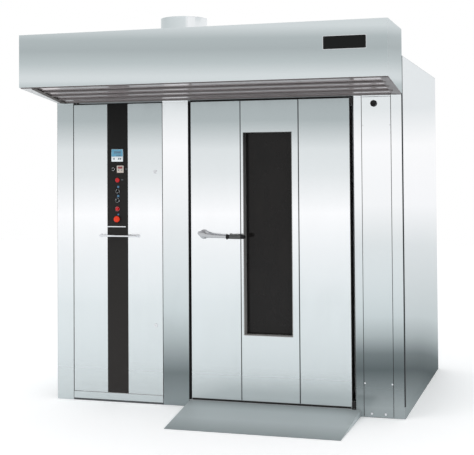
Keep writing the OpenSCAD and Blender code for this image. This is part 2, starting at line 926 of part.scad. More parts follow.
module circulation_fan() {
    z0 = z_deck + liner_t + fan_gap;
    z1 = z0 + fan_h;
    hub_l = fan_h / 2;
    edge = 3;
    color("silver") {
        rod_z([x_heat, y_fan, z1 - liner_t], fan_r, liner_t);
        rod_z([x_heat, y_fan, z1 - hub_l], 2 * fan_shaft_r, hub_l);
        rod_z([x_heat, y_fan, z1 - hub_l], fan_shaft_r, z_motor + shaft_end - z1 + hub_l);
        difference() {
            rod_z([x_heat, y_fan, z0], fan_r, liner_t);
            rod_z([x_heat, y_fan, z0 - 1], fan_r - blade_d, liner_t + 2);
        }
        for (i = [0:blade_count - 1])
            translate([x_heat, y_fan, z0 + liner_t / 2])
                rotate([0, 0, i * 360 / blade_count])
                    translate([fan_r - blade_d + edge, -liner_t / 2, 0])
                        cube([blade_d - 2 * edge, liner_t, fan_h - liner_t]);
    }
}

// motor that stands on the roof, with a bore for the shaft from below
module fan_motor() {
    color("royalblue")
        difference() {
            union() {
                rod_z([x_heat, y_fan, body_h], 1.5 * motor_r, z_motor - body_h);
                rod_z([x_heat, y_fan, z_motor], 1.3 * motor_r, 2.6 * motor_r);
                rod_z([x_heat, y_fan, z_motor + 2.6 * motor_r], motor_r, motor_r / 2);
            }
            rod_z([x_heat, y_fan, body_h - 1], fan_shaft_r + clear, z_motor - body_h + shaft_end + 2);
        }
}

module steam_unit() {
    trays = 10;
    rise = (chamber_h - 2 * slot_h) / trays;
    valve_w = 60;
    valve_h = 50;
    z_pipe = z_ceiling - slot_h;
    x0 = x_water - tray_l / 2;
    y0 = y_water - tray_w / 2;
    color("dimgray") {
        for (x = [x0 - liner_t, x0 + tray_l])
            slab([x, y0, z_floor], [x + liner_t, y0 + tray_w, z_pipe]);
        for (i = [0:trays - 1])
            translate([x0, y0, z_floor + slot_h + i * rise])
                difference() {
                    cube([tray_l, tray_w, tray_h]);
                    translate([-1, liner_t, liner_t])
                        cube([tray_l + 2, tray_w - 2 * liner_t, tray_h]);
                }
    }
    color("goldenrod") {
        rod_z([x_water, y_water, z_pipe], water_r, body_h - z_pipe);
        translate([x_water - valve_w / 2, y_water - valve_h / 2, body_h])
            cube([valve_w, valve_h, valve_h]);
        rod_z([x_water, y_water, body_h + valve_h], nipple_r, nipple_l);
    }
}

module drive_stand() {
    half = stand_w / 2;
    post = 12;
    bearing_r = 34;
    flange_r = 55;
    flange_h = 10;
    z_bearing = body_h + stand_t + seam_gap;
    color("steelblue")
        difference() {
            union() {
                slab([x_axis - half, y_axis - half, body_h],
                    [x_axis + half, y_axis + half, body_h + stand_t]);
                slab([x_axis - half, y_axis - half, body_h + stand_h - post],
                    [x_axis + half, y_axis + half, body_h + stand_h]);
                for (x = [-half, half - post], y = [-half, half - post])
                    translate([x_axis + x, y_axis + y, body_h])
                        cube([post, post, stand_h]);
            }
            rod_z([x_axis, y_axis, body_h - 1], shaft_r + shaft_gap, stand_h + 2);
        }
    color("seagreen")
        difference() {
            union() {
                rod_z([x_axis, y_axis, z_bearing], flange_r, flange_h);
                rod_z([x_axis, y_axis, z_bearing], bearing_r, bearing_h);
            }
            rod_z([x_axis, y_axis, body_h], shaft_r + clear, stand_h);
        }
}

module rack_gearmotor() {
    half = 70;
    flange_r = 55;
    flange_t = 15;
    motor_l = 240;
    z0 = body_h + stand_h;
    z_mid = z0 + gearbox_h / 2;
    color("royalblue")
        difference() {
            union() {
                slab([x_axis - half, y_axis - half, z0], [x_axis + half, y_axis + half, z0 + gearbox_h]);
                rod_x([x_axis - half - flange_t, y_axis, z_mid], flange_r, flange_t);
                rod_x([x_axis - half - flange_t - motor_l, y_axis, z_mid], motor_r, motor_l);
            }
            rod_z([x_axis, y_axis, z0 - 1], shaft_r + clear, gearbox_h - gear_cap + 1);
        }
}

module drive_shaft() {
    z0 = z_hub + hub_cap;
    z1 = body_h + stand_h + gearbox_h - gear_cap - shaft_end_gap;
    ring_t = 12;
    ring_h = 14;
    color("gray") {
        rod_z([x_axis, y_axis, z0], shaft_r, z1 - z0);
        rod_z([x_axis, y_axis, body_h + stand_t + seam_gap + bearing_h + run_gap], shaft_r + ring_t, ring_h);
    }
}

module rack_hook() {
    beam_h = 16;
    hook_t = 14;
    hook_w = 60;
    hub_t = 22;
    color("silver") {
        difference() {
            rod_z([x_axis, y_axis, z_hub], shaft_r + hub_t, hub_h);
            rod_z([x_axis, y_axis, z_hub + hub_cap], shaft_r + clear, hub_h);
        }
        slab([x_axis - hook_l / 2, y_axis - hook_w / 2, z_hub - beam_h],
            [x_axis + hook_l / 2, y_axis + hook_w / 2, z_hub]);
        for (side = [-1, 1])
            translate([x_axis + side * hook_pitch / 2, y_axis, z_hub - beam_h]) {
                slab([-hook_t / 2, -hook_w / 2, -hook_w], [hook_t / 2, hook_w / 2, 0]);
                slab([-hook_w / 2, -hook_w / 2, -hook_w - hook_t], [hook_w / 2, hook_w / 2, -hook_w]);
            }
    }
}

module electrics_panel() {
    rows = 3;
    units = 4;
    rail_t = 8;
    rail_h = 35;
    unit_l = 72;
    unit_h = 90;
    edge = 10;
    x0 = x_left + sheet_t + liner_t;
    y0 = y_frame + 2 * edge;
    y1 = y_bulkhead - 2 * edge;
    pitch = (y1 - y0 - 3 * edge) / units;
    rise = electrics_h / rows;
    color("lightgray") {
        slab([x0 - liner_t, y0, electrics_z], [x0, y1, electrics_z + electrics_h]);
        for (row = [0:rows - 1])
            translate([x0, y0 + edge, electrics_z + unit_h + row * rise])
                cube([rail_t, y1 - y0 - 2 * edge, rail_h]);
    }
    color("darkslategray")
        for (row = [0:rows - 1], i = [0:units - 1])
            translate([x0 + rail_t + seam_gap, y0 + 1.5 * edge + i * pitch,
                    electrics_z + row * rise + (unit_h + rail_h) / 2])
                cube([unit_l, pitch - edge / 2, unit_h]);
}

// ---- main door ----

module window_cut(grow) {
    slab([x_window - grow, y_front - 1, z_window - grow],
        [x_window + window_w + grow, y_leaf_back + 1, z_window + window_h + grow]);
}

// room for the latch bolt, wider by the gap than the bolt itself
module bolt_room(gap, x_end) {
    slab([x_leaf - bolt_out - 1, y_bolt - gap, z_lever - bolt_h / 2 - gap],
        [x_end, y_bolt + bolt_t + gap, z_lever + bolt_h / 2 + gap]);
}

module door_skin_left() {
    color("silver")
        difference() {
            union() {
                slab([x_leaf, y_front, z_leaf], [x_leaf + skin_left_w, y_skin, z_leaf_top]);
                slab([x_leaf, y_front, z_leaf], [x_leaf + sheet_t, y_front + rebate_d, z_leaf_top]);
                slab([x_leaf, y_front + rebate_d - sheet_t, z_leaf],
                    [x_leaf + leaf_step, y_front + rebate_d, z_leaf_top]);
            }
            rod_y([x_lever, y_front - 1, z_lever], spindle_r + clear, sheet_t + 2);
        }
}

module door_skin_middle() {
    color("silver")
        difference() {
            slab([x_skin_middle, y_front, z_leaf], [x_skin_middle + skin_middle_w, y_skin, z_leaf_top]);
            window_cut(0);
        }
}

module door_skin_right() {
    color("silver") {
        slab([x_skin_right, y_front, z_leaf], [x_leaf_end, y_skin, z_leaf_top]);
        slab([x_leaf_end - sheet_t, y_front, z_leaf], [x_leaf_end, y_leaf_back, z_leaf_top]);
    }
}

// knuckle and pin at a corner of the leaf, from z0 up over knuckle_h
module knuckle(z0, pin_z0, pin_z1) {
    slab([x_leaf_end, y_pivot - knuckle_wall, z0], [x_pivot, y_pivot + knuckle_r, z0 + knuckle_h]);
    rod_z([x_pivot, y_pivot, z0], knuckle_r, knuckle_h);
    rod_z([x_pivot, y_pivot, pin_z0], pin_r, pin_z1 - pin_z0);
}

// four bars of the leaf with the corner knuckles beside them
module door_edge_frame() {
    x0 = x_leaf + leaf_step;
    x1 = x_leaf_end - sheet_t;
    y1 = y_leaf_back - sheet_t;
    color("gray") {
        difference() {
            slab([x0, y_skin, z_leaf], [x0 + edge_w, y1, z_leaf_top]);
            bolt_room(run_gap, x_lever);
        }
        slab([x1 - edge_w, y_skin, z_leaf], [x1, y1, z_leaf_top]);
        for (z = [z_leaf, z_leaf_top - edge_w])
            slab([x0 + edge_w + seam_gap, y_skin, z], [x1 - edge_w - seam_gap, y1, z + edge_w]);
        knuckle(z_leaf, base_h + pin_gap, z_leaf + knuckle_h);
        knuckle(z_leaf_top - knuckle_h, z_leaf_top - knuckle_h, z_lintel - pin_gap);
    }
}

module door_insulation() {
    x0 = x_leaf + leaf_step + edge_w;
    x1 = x_leaf_end - sheet_t - edge_w;
    color("khaki")
        difference() {
            slab([x0, y_skin, z_leaf + edge_w], [x1, y_leaf_back - sheet_t, z_leaf_top - edge_w]);
            window_cut(0);
            bolt_room(run_gap, x_lever + bolt_tail + bolt_travel + 1);
            rod_y([x_lever, y_front, z_lever], spindle_r + run_gap, leaf_t - 2 * sheet_t - edge_w);
        }
}

module door_liner() {
    color("lightgray")
        difference() {
            slab([x_leaf + leaf_step, y_leaf_back - sheet_t, z_leaf],
                [x_leaf_end - sheet_t, y_leaf_back, z_leaf_top]);
            window_cut(0);
        }
}

module window_frame() {
    t = window_frame_t;
    color("darkslategray")
        difference() {
            slab([x_window, y_front, z_window],
                [x_window + window_w, y_leaf_back, z_window + window_h]);
            window_cut(-t);
        }
}

module window_glass() {
    t = window_frame_t;
    color([0.1, 0.1, 0.1, 0.6])
        for (y = [y_front + window_recess, y_leaf_back - t - glass_t])
            slab([x_window + t, y, z_window + t],
                [x_window + window_w - t, y + glass_t, z_window + window_h - t]);
}

module latch_bolt() {
    color("gray")
        difference() {
            slab([x_leaf - bolt_out, y_bolt, z_lever - bolt_h / 2],
                [x_lever + bolt_tail, y_bolt + bolt_t, z_lever + bolt_h / 2]);
            slab([x_lever - spindle_r - bolt_travel - run_gap, y_bolt - 1, z_lever - spindle_r - run_gap],
                [x_lever + spindle_r + run_gap, y_bolt + bolt_t + 1, z_lever + spindle_r + run_gap]);
        }
}

module lever_handle() {
    arm_t = 12;
    root_h = 19;
    tip_h = 9;
    rose_t = 12;
    hub_r = boss_r - 4;
    z_tip = -arm_drop;
    color("gainsboro") {
        rod_y([x_lever, y_lever - arm_t / 2, z_lever], hub_r, lever_out - run_gap + arm_t / 2);
        rod_y([x_lever, y_front - rose_t, z_lever], boss_r, rose_t - run_gap);
        rod_y([x_lever, y_front - 1, z_lever], spindle_r, y_bolt + bolt_t - y_front + spindle_end);
        translate([x_lever, y_lever + arm_t / 2, z_lever])
            rotate([90, 0, 0])
                linear_extrude(height = arm_t)
                    polygon([
                        [0, -root_h],
                        [lever_arm, z_tip - tip_h],
                        [lever_arm, z_tip + tip_h],
                        [0, hub_r - 1]
                    ]);
        rod_x([x_grip - 1, y_lever, z_grip], tang_r, grip_l - grip_cap);
    }
}

module lever_grip() {
    ring_t = 3;
    ring_l = 8;
    color("black")
        difference() {
            union() {
                rod_x([x_grip, y_lever, z_grip], grip_r, grip_l - grip_r);
                rod_x([x_grip, y_lever, z_grip], grip_r + ring_t, ring_l);
                translate([x_grip + grip_l - grip_r, y_lever, z_grip])
                    sphere(r = grip_r);
            }
            rod_x([x_grip - 1, y_lever, z_grip], tang_r + clear, grip_l - grip_cap + 2);
        }
}

// ---- service bay door and its controls ----

// openings for the instruments, in the strip and the sheet behind it
module instrument_cuts(gap) {
    h = 20;
    y = y_front - h / 2;
    c = controller_s / 2 - controller_lip + gap;
    t = timer_s / 2 - timer_lip + gap;
    slab([x_controls - c, y, controller_z - c], [x_controls + c, y + h, controller_z + c]);
    slab([x_timer - t, y, timer_z - t], [x_timer + t, y + h, timer_z + t]);
    rod_y([x_small_knob, y, timer_z], small_barrel_r + gap, h);
    for (z = concat(switch_z, [indicator_z]))
        rod_y([x_controls, y, z], barrel_r + gap, h);
}

module bay_door() {
    z0 = z_bay_door;
    z1 = z_leaf_top;
    x0 = x_bay_door;
    x1 = x_bay_door_end;
    block_w = bay_pivot_set + pin_r + knuckle_wall;
    block_d = block_w - sheet_t;
    color("silver")
        difference() {
            union() {
                difference() {
                    slab([x0, y_front, z0], [x1, y_bay_back, z1]);
                    slab([x0 + sheet_t, y_skin, z0 + sheet_t],
                        [x1 - sheet_t, y_bay_back + 1, z1 - sheet_t]);
                    slab([x_strip, y_front - 1, z0 - 1], [x_strip + strip_w, y_skin, z1 + 1]);
                }
                slab([x_strip - fold_d, y_skin, z0], [x_strip + strip_w + fold_d, y_skin + sheet_t, z1]);
                for (z = [z0, z1 - knuckle_h])
                    translate([x0, y_skin, z])
                        cube([block_w, block_d, knuckle_h]);
                rod_z([x_bay_pivot, y_bay_pivot, base_h + pin_gap], pin_r, z0 - base_h);
                rod_z([x_bay_pivot, y_bay_pivot, z1 - pin_gap], pin_r, lintel_gap);
            }
            instrument_cuts(run_gap);
            for (z = lock_z)
                rod_y([x_lock, y_front - 1, z], lock_r + clear, sheet_t + 2);
        }
}

module control_strip() {
    color("black")
        difference() {
            union() {
                slab([x_strip, y_front, z_bay_door], [x_strip + strip_w, y_skin, z_leaf_top]);
                slab([x_strip + fascia_inset, y_face, fascia_z],
                    [x_strip + strip_w - fascia_inset, y_front, fascia_z + fascia_h]);
            }
            instrument_cuts(run_gap);
        }
}

module pull_bar() {
    rose_t = 3;
    x0 = x_controls + pull_shift - pull_l / 2;
    y = y_front - pull_out;
    color("gainsboro") {
        rod_x([x0, y, pull_z], pull_r, pull_l);
        for (x = [x0 + pull_r, x0 + pull_l - pull_r]) {
            rod_y([x, y, pull_z], pull_r, pull_out);
            rod_y([x, y_front - rose_t, pull_z], 2 * pull_r, rose_t);
        }
    }
}

// square instrument: bezel in front of the fascia and case behind it
module instrument(x, z, side, front_t, lip) {
    s = side / 2;
    slab([x - s, y_face - front_t, z - s], [x + s, y_face, z + s]);
    slab([x - s + lip, y_face - 1, z - s + lip], [x + s - lip, y_front + instrument_d, z + s - lip]);
}

module controller() {
    color("lightskyblue")
        instrument(x_controls, controller_z, controller_s, controller_t, controller_lip);
}

module timer() {
    color("wheat")
        instrument(x_timer, timer_z, timer_s, bezel_t, timer_lip);
}

// bezel, barrel and contact block of one switch, with a blind bore for the stem
module switch_body(x, z, r, barrel, block, recess_r) {
    difference() {
        union() {
            rod_y([x, y_face - bezel_t, z], r, bezel_t);
            rod_y([x, y_face - 1, z], barrel, switch_d);
            slab([x - block / 2, y_skin + sheet_t, z - block / 2],
                [x + block / 2, y_face + switch_d, z + block / 2]);
        }
        rod_y([x, y_face - bezel_t - 1, z], stem_r + clear, stem_l + bezel_t + stop_travel + 2);
        rod_y([x, y_face - bezel_t - 1, z], recess_r, bezel_t + 1);
    }
}

module switch_bodies() {
    color("gainsboro") {
        for (z = switch_z)
            switch_body(x_controls, z, bezel_r, barrel_r, 2 * (barrel_r + block_rim), head_r + run_gap);
        switch_body(x_small_knob, timer_z, small_knob_r + small_rim, small_barrel_r,
            2 * (small_barrel_r + small_rim), stem_r + clear);
        difference() {
            rod_y([x_controls, y_face - bezel_t, indicator_z], bezel_r, bezel_t);
            rod_y([x_controls, y_face - bezel_t - 1, indicator_z], head_r + run_gap, bezel_t + 2);
        }
    }
}

module indicator_lamp() {
    lens_t = 4;
    color("red") {
        rod_y([x_controls, y_face - bezel_t - lens_t, indicator_z], head_r, bezel_t + lens_t);
        rod_y([x_controls, y_face - 1, indicator_z], barrel_r - 1, switch_d);
        slab([x_controls - barrel_r, y_skin + sheet_t, indicator_z - barrel_r],
            [x_controls + barrel_r, y_face + switch_d, indicator_z + barrel_r]);
    }
}

// knob at x and z: head from the bezel outwards, stem into the bore
module knob_head(x, z, r, h, lift) {
    rod_y([x, y_face - bezel_t - lift - h, z], r, h);
    rod_y([x, y_face - bezel_t - lift - 1, z], stem_r, stem_l + bezel_t + lift + 1);
}

module selector(z) {
    ridge_w = 7;
    ridge_l = 2 * head_r - 1;
    ridge_h = 9;
    head_h = 7;
    color("black") {
        knob_head(x_controls, z, head_r, head_h, run_gap);
        translate([x_controls - ridge_w / 2, y_face - bezel_t - head_h - ridge_h, z - ridge_l / 2])
            cube([ridge_w, ridge_h, ridge_l]);
    }
}

module selector_upper() {
    selector(switch_z[0]);
}

module selector_lower() {
    selector(switch_z[1]);
}

module push_button() {
    head_h = 8;
    color("crimson")
        knob_head(x_controls, switch_z[2], head_r, head_h, run_gap);
}

module emergency_stop() {
    head_h = 14;
    neck_h = 3;
    color("orangered") {
        knob_head(x_controls, switch_z[3], stop_r, head_h, stop_travel + run_gap);
        rod_y([x_controls, y_face - bezel_t - stop_travel - neck_h, switch_z[3]], head_r - 1, neck_h);
    }
}

module small_knob() {
    head_h = 11;
    color("black")
        knob_head(x_small_knob, timer_z, small_knob_r, head_h - run_gap, run_gap);
}

// cam lock at height z, with its tongue hanging down in the open position
module cam_lock(z) {
    rim_t = 3;
    rim_w = 4;
    tongue_w = 12;
    color("gainsboro") {
        rod_y([x_lock, y_front - rim_t, z], lock_r + rim_w, rim_t - seam_gap);
        rod_y([x_lock, y_front - 1, z], lock_r, y_tongue + tongue_t - y_front + 1);
        slab([x_lock - tongue_w / 2, y_tongue, z - tongue_l],
            [x_lock + tongue_w / 2, y_tongue + tongue_t, z]);
    }
}

module lock_upper() {
    cam_lock(lock_z[1]);
}

module lock_lower() {
    cam_lock(lock_z[0]);
}

base_frame();
outer_panels();
roof_panel();
front_stiles();
centre_pillar();
lintel();
door_frame();
kick_plate();
service_panel();
panel_screws();
service_knob();
door_seal();
hinge_brackets();
hood_shell();
hood_baffles();
exhaust_collar();
entry_ramp();
chamber_floor();
air_wall();
chamber_walls();
bay_bulkhead();
insulation();
chamber_lamps();
heat_exchanger();
flue_pipe();
burner();
fan_deck();
circulation_fan();
fan_motor();
steam_unit();
drive_stand();
rack_gearmotor();
drive_shaft();
rack_hook();
electrics_panel();
door_skin_left();
door_skin_middle();
door_skin_right();
door_edge_frame();
door_insulation();
door_liner();
window_frame();
window_glass();
latch_bolt();
lever_handle();
lever_grip();
bay_door();
control_strip();
pull_bar();
controller();
timer();
switch_bodies();
indicator_lamp();
selector_upper();
selector_lower();
push_button();
emergency_stop();
small_knob();
lock_upper();
lock_lower();
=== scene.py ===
# %% [markdown]
# # Dressing a rotating rack oven
# A rack oven is a small stainless room: folded sheets on a frame, a door with a tall window, a hood
# that catches steam and a ramp for the rack. The solids are already exact, so this lesson gives each
# visible sheet its bent edges, each control its real form, and every surface a finish.

import json
import math

import bmesh
import bpy
import numpy as np
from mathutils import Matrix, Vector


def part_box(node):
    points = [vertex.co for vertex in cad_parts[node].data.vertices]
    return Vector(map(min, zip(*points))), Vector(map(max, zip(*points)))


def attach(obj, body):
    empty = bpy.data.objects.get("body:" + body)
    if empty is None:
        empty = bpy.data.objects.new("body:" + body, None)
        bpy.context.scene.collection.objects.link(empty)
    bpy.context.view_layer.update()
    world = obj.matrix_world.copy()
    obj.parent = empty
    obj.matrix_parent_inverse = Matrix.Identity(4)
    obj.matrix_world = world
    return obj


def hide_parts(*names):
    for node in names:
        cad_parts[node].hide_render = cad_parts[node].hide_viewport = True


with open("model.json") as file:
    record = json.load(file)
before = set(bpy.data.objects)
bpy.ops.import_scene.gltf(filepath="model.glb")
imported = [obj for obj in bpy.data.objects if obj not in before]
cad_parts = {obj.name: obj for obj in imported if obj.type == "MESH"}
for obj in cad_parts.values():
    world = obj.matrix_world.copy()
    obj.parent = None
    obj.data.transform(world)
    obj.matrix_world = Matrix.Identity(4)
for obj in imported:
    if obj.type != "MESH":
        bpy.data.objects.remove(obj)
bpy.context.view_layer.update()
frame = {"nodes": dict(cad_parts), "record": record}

# %% [markdown]
# ## Shapes from arrays
# Every new piece is a patch: an array of points and a list of faces. A grid of points carries most of
# them, because a bent sheet, a turned knob and a swept bar are all a row of sections. Worked out with
# numpy, a section is one line of arithmetic, and no loop goes over the points.

# %% A grid of points becomes a patch
def grid(points, around=False, along=False, caps=False):
    """Joins P[i, j] with its neighbours P[i+1, j] and P[i, j+1] by four-sided faces.

    around joins the last column to the first, along joins the last row to the first, and caps close
    the first and the last row with one flat face each.
    """
    rows, cols = points.shape[:2]
    i = np.arange(rows if along else rows - 1)[:, None]
    j = np.arange(cols if around else cols - 1)[None, :]
    beside = (j + 1) % cols
    above = (i + 1) % rows
    quads = np.stack([i * cols + j, i * cols + beside, above * cols + beside, above * cols + j], -1)
    faces = quads.reshape(-1, 4).tolist()
    if caps:
        faces.append(list(range(cols))[::-1])
        faces.append(list(range((rows - 1) * cols, rows * cols)))
    return points.reshape(-1, 3), faces


def closed(rows):
    """A closed shell: loops of points joined in their order, with both ends capped."""
    return grid(np.array(rows), around=True, caps=True)


# %% Patches become one finished piece
FLAT_SHEET = 0.003


def put(name, data):
    """Adds an object to the scene."""
    thing = bpy.data.objects.new(name, data)
    bpy.context.scene.collection.objects.link(thing)
    return thing


def make(name, patches, look, body="oven", stands_for=None, sharp=32):
    """Puts patches into one mesh at the origin, turns all faces outwards and gives it its finish.

    look is a slot of the record, whose finish is taken from kinds, or a finish itself. Edges that bend by
    more than sharp degrees stay crisp, and all others are shaded smooth. Faces over 30 cm2 are flat sheet:
    they keep their own normal, so that a rounded rim doesn't bend what they mirror.
    """
    mesh = bpy.data.meshes.new(name)
    points, faces, start = [], [], 0
    for patch_points, patch_faces in patches:
        points.append(patch_points)
        faces += [[start + k for k in face] for face in patch_faces]
        start += len(patch_points)
    mesh.from_pydata(np.concatenate(points), [], faces)
    turn_outwards(mesh)
    mesh.set_sharp_from_angle(angle=math.radians(sharp))
    areas = np.empty(len(mesh.polygons))
    mesh.polygons.foreach_get("area", areas)
    mesh.polygons.foreach_set("use_smooth", areas < FLAT_SHEET)
    piece = put(name, mesh)
    named = isinstance(look, str)
    mesh.materials.append(kinds[look] if named else look)
    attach(piece, body)
    if stands_for:
        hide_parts(stands_for)


def turn_outwards(mesh):
    """Merges points that lie on each other and makes the faces of every closed shell point outwards."""
    work = bmesh.new()
    work.from_mesh(mesh)
    bmesh.ops.remove_doubles(work, verts=work.verts, dist=1e-6)
    bmesh.ops.recalc_face_normals(work, faces=work.faces)
    work.to_mesh(mesh)
    work.free()


# %% [markdown]
# ## Sections
# A turned part is a profile of radius and height that goes round an axis. A swept part is a circle
# carried along a line. A folded sheet is a line in plan with rounded corners, drawn up along Z and
# given its wall by a second line beside it. A rounded block is a stack of rounded rectangles.

# %% Turned and swept patches
AXES = {"x": np.eye(3)[0], "y": np.eye(3)[1], "z": np.eye(3)[2]}


def turned(profile, centre, axis="y", steps=40, lobes=None, hollow=False):
    """Point = centre + axis * h + r * (cos t * side + sin t * up), for each (r, h) of the profile.

    lobes = (number, depth) changes r to r * (1 + depth * cos(number * t)), as on a fluted knob. The
    profile of a hollow piece is a closed line, so the patch is a ring with an open middle.
    """
    profile = np.array(profile, float)
    direction = AXES[axis]
    side = AXES["x"] if axis != "x" else AXES["y"]
    up = np.cross(direction, side)
    t = np.linspace(0, 2 * np.pi, steps, endpoint=False)
    circle = np.cos(t)[:, None] * side + np.sin(t)[:, None] * up
    swell = 1 + lobes[1] * np.cos(lobes[0] * t) if lobes else np.ones(steps)
    points = (np.array(centre) + profile[:, 1, None, None] * direction
              + profile[:, 0, None, None] * swell[None, :, None] * circle)
    return grid(points, around=True, along=hollow, caps=not hollow)


def swept(path, radius, steps=20):
    """Point = path + r * (cos t * n + sin t * b), where n and b stand square to the path.

    n is the part of Z that is square to the path's own direction.
    """
    path = np.array(path, float)
    ahead = np.gradient(path, axis=0)
    ahead /= np.linalg.norm(ahead, axis=1)[:, None]
    n = AXES["z"] - (ahead @ AXES["z"])[:, None] * ahead
    n /= np.linalg.norm(n, axis=1)[:, None]
    b = np.cross(ahead, n)
    r = np.broadcast_to(np.array(radius, float), len(path))[:, None, None]
    t = np.linspace(0, 2 * np.pi, steps, endpoint=False)[None, :, None]
    return closed(path[:, None] + r * (np.cos(t) * n[:, None] + np.sin(t) * b[:, None]))


def rounded_line(corners, radius, steps=5):
    """Replaces each inner corner of a line by an arc: the arc of a quadratic curve between two points.

    The points lie radius before and behind the corner, and B(s) = (1-s)^2 A + 2 s (1-s) C + s^2 D.
    """
    corners = np.array(corners, float)
    s = np.linspace(0, 1, steps)[:, None]
    line = [corners[:1]]
    for before, corner, behind in zip(corners[:-2], corners[1:-1], corners[2:]):
        a = corner + (before - corner) * radius / np.linalg.norm(before - corner)
        d = corner + (behind - corner) * radius / np.linalg.norm(behind - corner)
        line.append((1 - s) ** 2 * a + 2 * s * (1 - s) * corner + s ** 2 * d)
    line.append(corners[-1:])
    return np.concatenate(line)


# %% Folded sheets, rounded blocks and plates with a hole
wall, bend = 0.002, 0.003


def folded(plan, z0, z1):
    """Draws a bent line in plan up from z0 to z1: a grid of two heights by the points of a closed line.

    The closed line is the rounded plan and, back again, the same line moved to its left by the wall.
    """
    line = rounded_line(plan, bend)
    ahead = np.gradient(line, axis=0)
    ahead /= np.linalg.norm(ahead, axis=1)[:, None]
    normal = np.stack([-ahead[:, 1], ahead[:, 0]], -1)
    section = np.concatenate([line, (line + wall * normal)[::-1]])
    points, faces = grid(np.stack([np.insert(section, 2, z, axis=1) for z in (z0, z1)]), around=True)
    full = len(section)
    k = np.arange(len(line) - 1)
    bottom = np.stack([k, k + 1, full - 2 - k, full - 1 - k], -1)
    return points, faces + bottom.tolist() + (bottom + full)[:, ::-1].tolist()


def loop(width, height, radius):
    """A rounded rectangle about the middle: corner centres + r * (cos t, sin t), a quarter turn each."""
    radius = max(min(radius, width / 2 - 1e-5, height / 2 - 1e-5), 1e-5)
    t = np.linspace(0, np.pi / 2, 4)
    quarter = np.stack([np.cos(t), np.sin(t)], -1) * radius
    turns = [np.array([[c, -s], [s, c]]) for c, s in ((1, 0), (0, 1), (-1, 0), (0, -1))]
    signs = np.array([[1, 1], [-1, 1], [-1, -1], [1, -1]])
    centre = np.array([width / 2 - radius, height / 2 - radius])
    return np.concatenate([centre * sign + quarter @ turn.T for sign, turn in zip(signs, turns)])


def upright(line, centre, depth):
    """Stands a flat loop up in X and Z: P = centre + (u, depth, v)."""
    return np.array(centre) + np.insert(line, 1, depth, axis=1)


def block(low, high, corner=0.003, edge=0.002):
    """A box whose corners round along Y and whose front and back are bevelled by a quarter circle.

    Each end is a few rounded rectangles: inset e * (1 - sin a) at depth e * (1 - cos a).
    """
    low, high = np.array(low, float), np.array(high, float)
    width, deep, height = high - low
    centre = ((low[0] + high[0]) / 2, low[1], (low[2] + high[2]) / 2)
    a = np.linspace(0, np.pi / 2, 4)
    ends = [(loop(width - 2 * inset, height - 2 * inset, corner - inset), depth)
            for inset, depth in zip(edge * (1 - np.sin(a)), edge * (1 - np.cos(a)))]
    return closed([upright(line, centre, depth) for line, depth in ends]
                  + [upright(line, centre, deep - depth) for line, depth in ends[::-1]])


def holed(low, high, hole_low, hole_high, corner, edge):
    """A flat plate with a rectangular hole: its section goes round the material as a closed line.

    The loops run from the back of the rim to its front, over the face to the hole, and back through it.
    """
    low, high, hole_low, hole_high = (np.array(p, float) for p in (low, high, hole_low, hole_high))
    deep = high[1] - low[1]
    rows = []
    for a, b, depth in ((low, high, deep), (low, high, edge), (low + edge, high - edge, 0),
                        (hole_low - edge, hole_high + edge, 0), (hole_low, hole_high, edge),
                        (hole_low, hole_high, deep)):
        centre = ((a[0] + b[0]) / 2, low[1], (a[2] + b[2]) / 2)
        rows.append(upright(loop(b[0] - a[0], b[2] - a[2], corner), centre, depth))
    return grid(np.array(rows), around=True, along=True)


# %% [markdown]
# ## Places
# All places come from the solids, so the dressing follows them. A box gives the lowest and the highest
# corner of a node, and a place on the front is read from the node that it belongs to.

# %% Read the places
def places(node):
    """Lowest and highest corner of a CAD node as arrays."""
    low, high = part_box(node)
    return np.array(low), np.array(high)


def middle(node):
    """Middle of a CAD node's box."""
    low, high = places(node)
    return (low + high) / 2


def strip(x, y, z, corner, edge):
    """A rounded bar at the front. x, y and z are pairs, and y counts from the front plane inwards."""
    return block((x[0], front + y[0], z[0]), (x[1], front + y[1], z[1]), corner, edge)


front = places("lintel")[0][1]
roof_low, roof_high = places("roof_panel")
left, right, roof = roof_low[0], roof_high[0], roof_high[2]
hood_low, hood_high = places("hood_shell")
print("front", round(front, 4), "left", round(left, 4), "roof", round(roof, 4))

# %% [markdown]
# ## Finishes
# A finish is a shader tree: a colour, a roughness and a bump that each vary over the surface. Effects
# that many finishes share, such as the grain of rolled sheet, the smears of a wiping cloth and the
# rounded normal and mask of a bent edge, which give its brighter line partly by shading and partly as a
# painted highlight, are node groups, built once and placed with their own values.

# %% Helpers for shader trees
def seen(red, green, blue):
    """Turns a colour as it is seen on a screen, 0 to 255, into the linear values that shaders use."""
    c = np.array([red, green, blue]) / 255
    linear = np.where(c <= 0.04045, c / 12.92, ((c + 0.055) / 1.055) ** 2.4)
    return (*linear.tolist(), 1.0)


def fill(tree, node, **inputs):
    """Joins or fills a node's inputs, named with _ for a space, or with n and their number."""
    for key, value in inputs.items():
        socket = node.inputs[int(key[1:])] if key[1:].isdigit() else node.inputs[key.replace("_", " ")]
        if isinstance(value, bpy.types.NodeSocket):
            tree.links.new(value, socket)
        else:
            socket.default_value = value


def add(tree, kind, options=None, **inputs):
    """Adds a node, sets its options and fills its inputs."""
    node = tree.nodes.new(kind)
    for key, value in (options or {}).items():
        setattr(node, key, value)
    fill(tree, node, **inputs)
    return node


def math_node(tree, operation, *values):
    """One step of arithmetic: the values go into the node's inputs in their order."""
    return add(tree, "ShaderNodeMath", {"operation": operation},
               **{f"n{i}": v for i, v in enumerate(values)}).outputs[0]


def ranged(tree, value, **limits):
    """Maps a value from one range to another. A limit that isn't named is 0 or 1."""
    return add(tree, "ShaderNodeMapRange", Value=value, **limits).outputs[0]


def blend(tree, share, first, second):
    """Colour = first + share * (second - first)."""
    return add(tree, "ShaderNodeMix", {"data_type": "RGBA"}, n0=share, n6=first, n7=second).outputs[2]


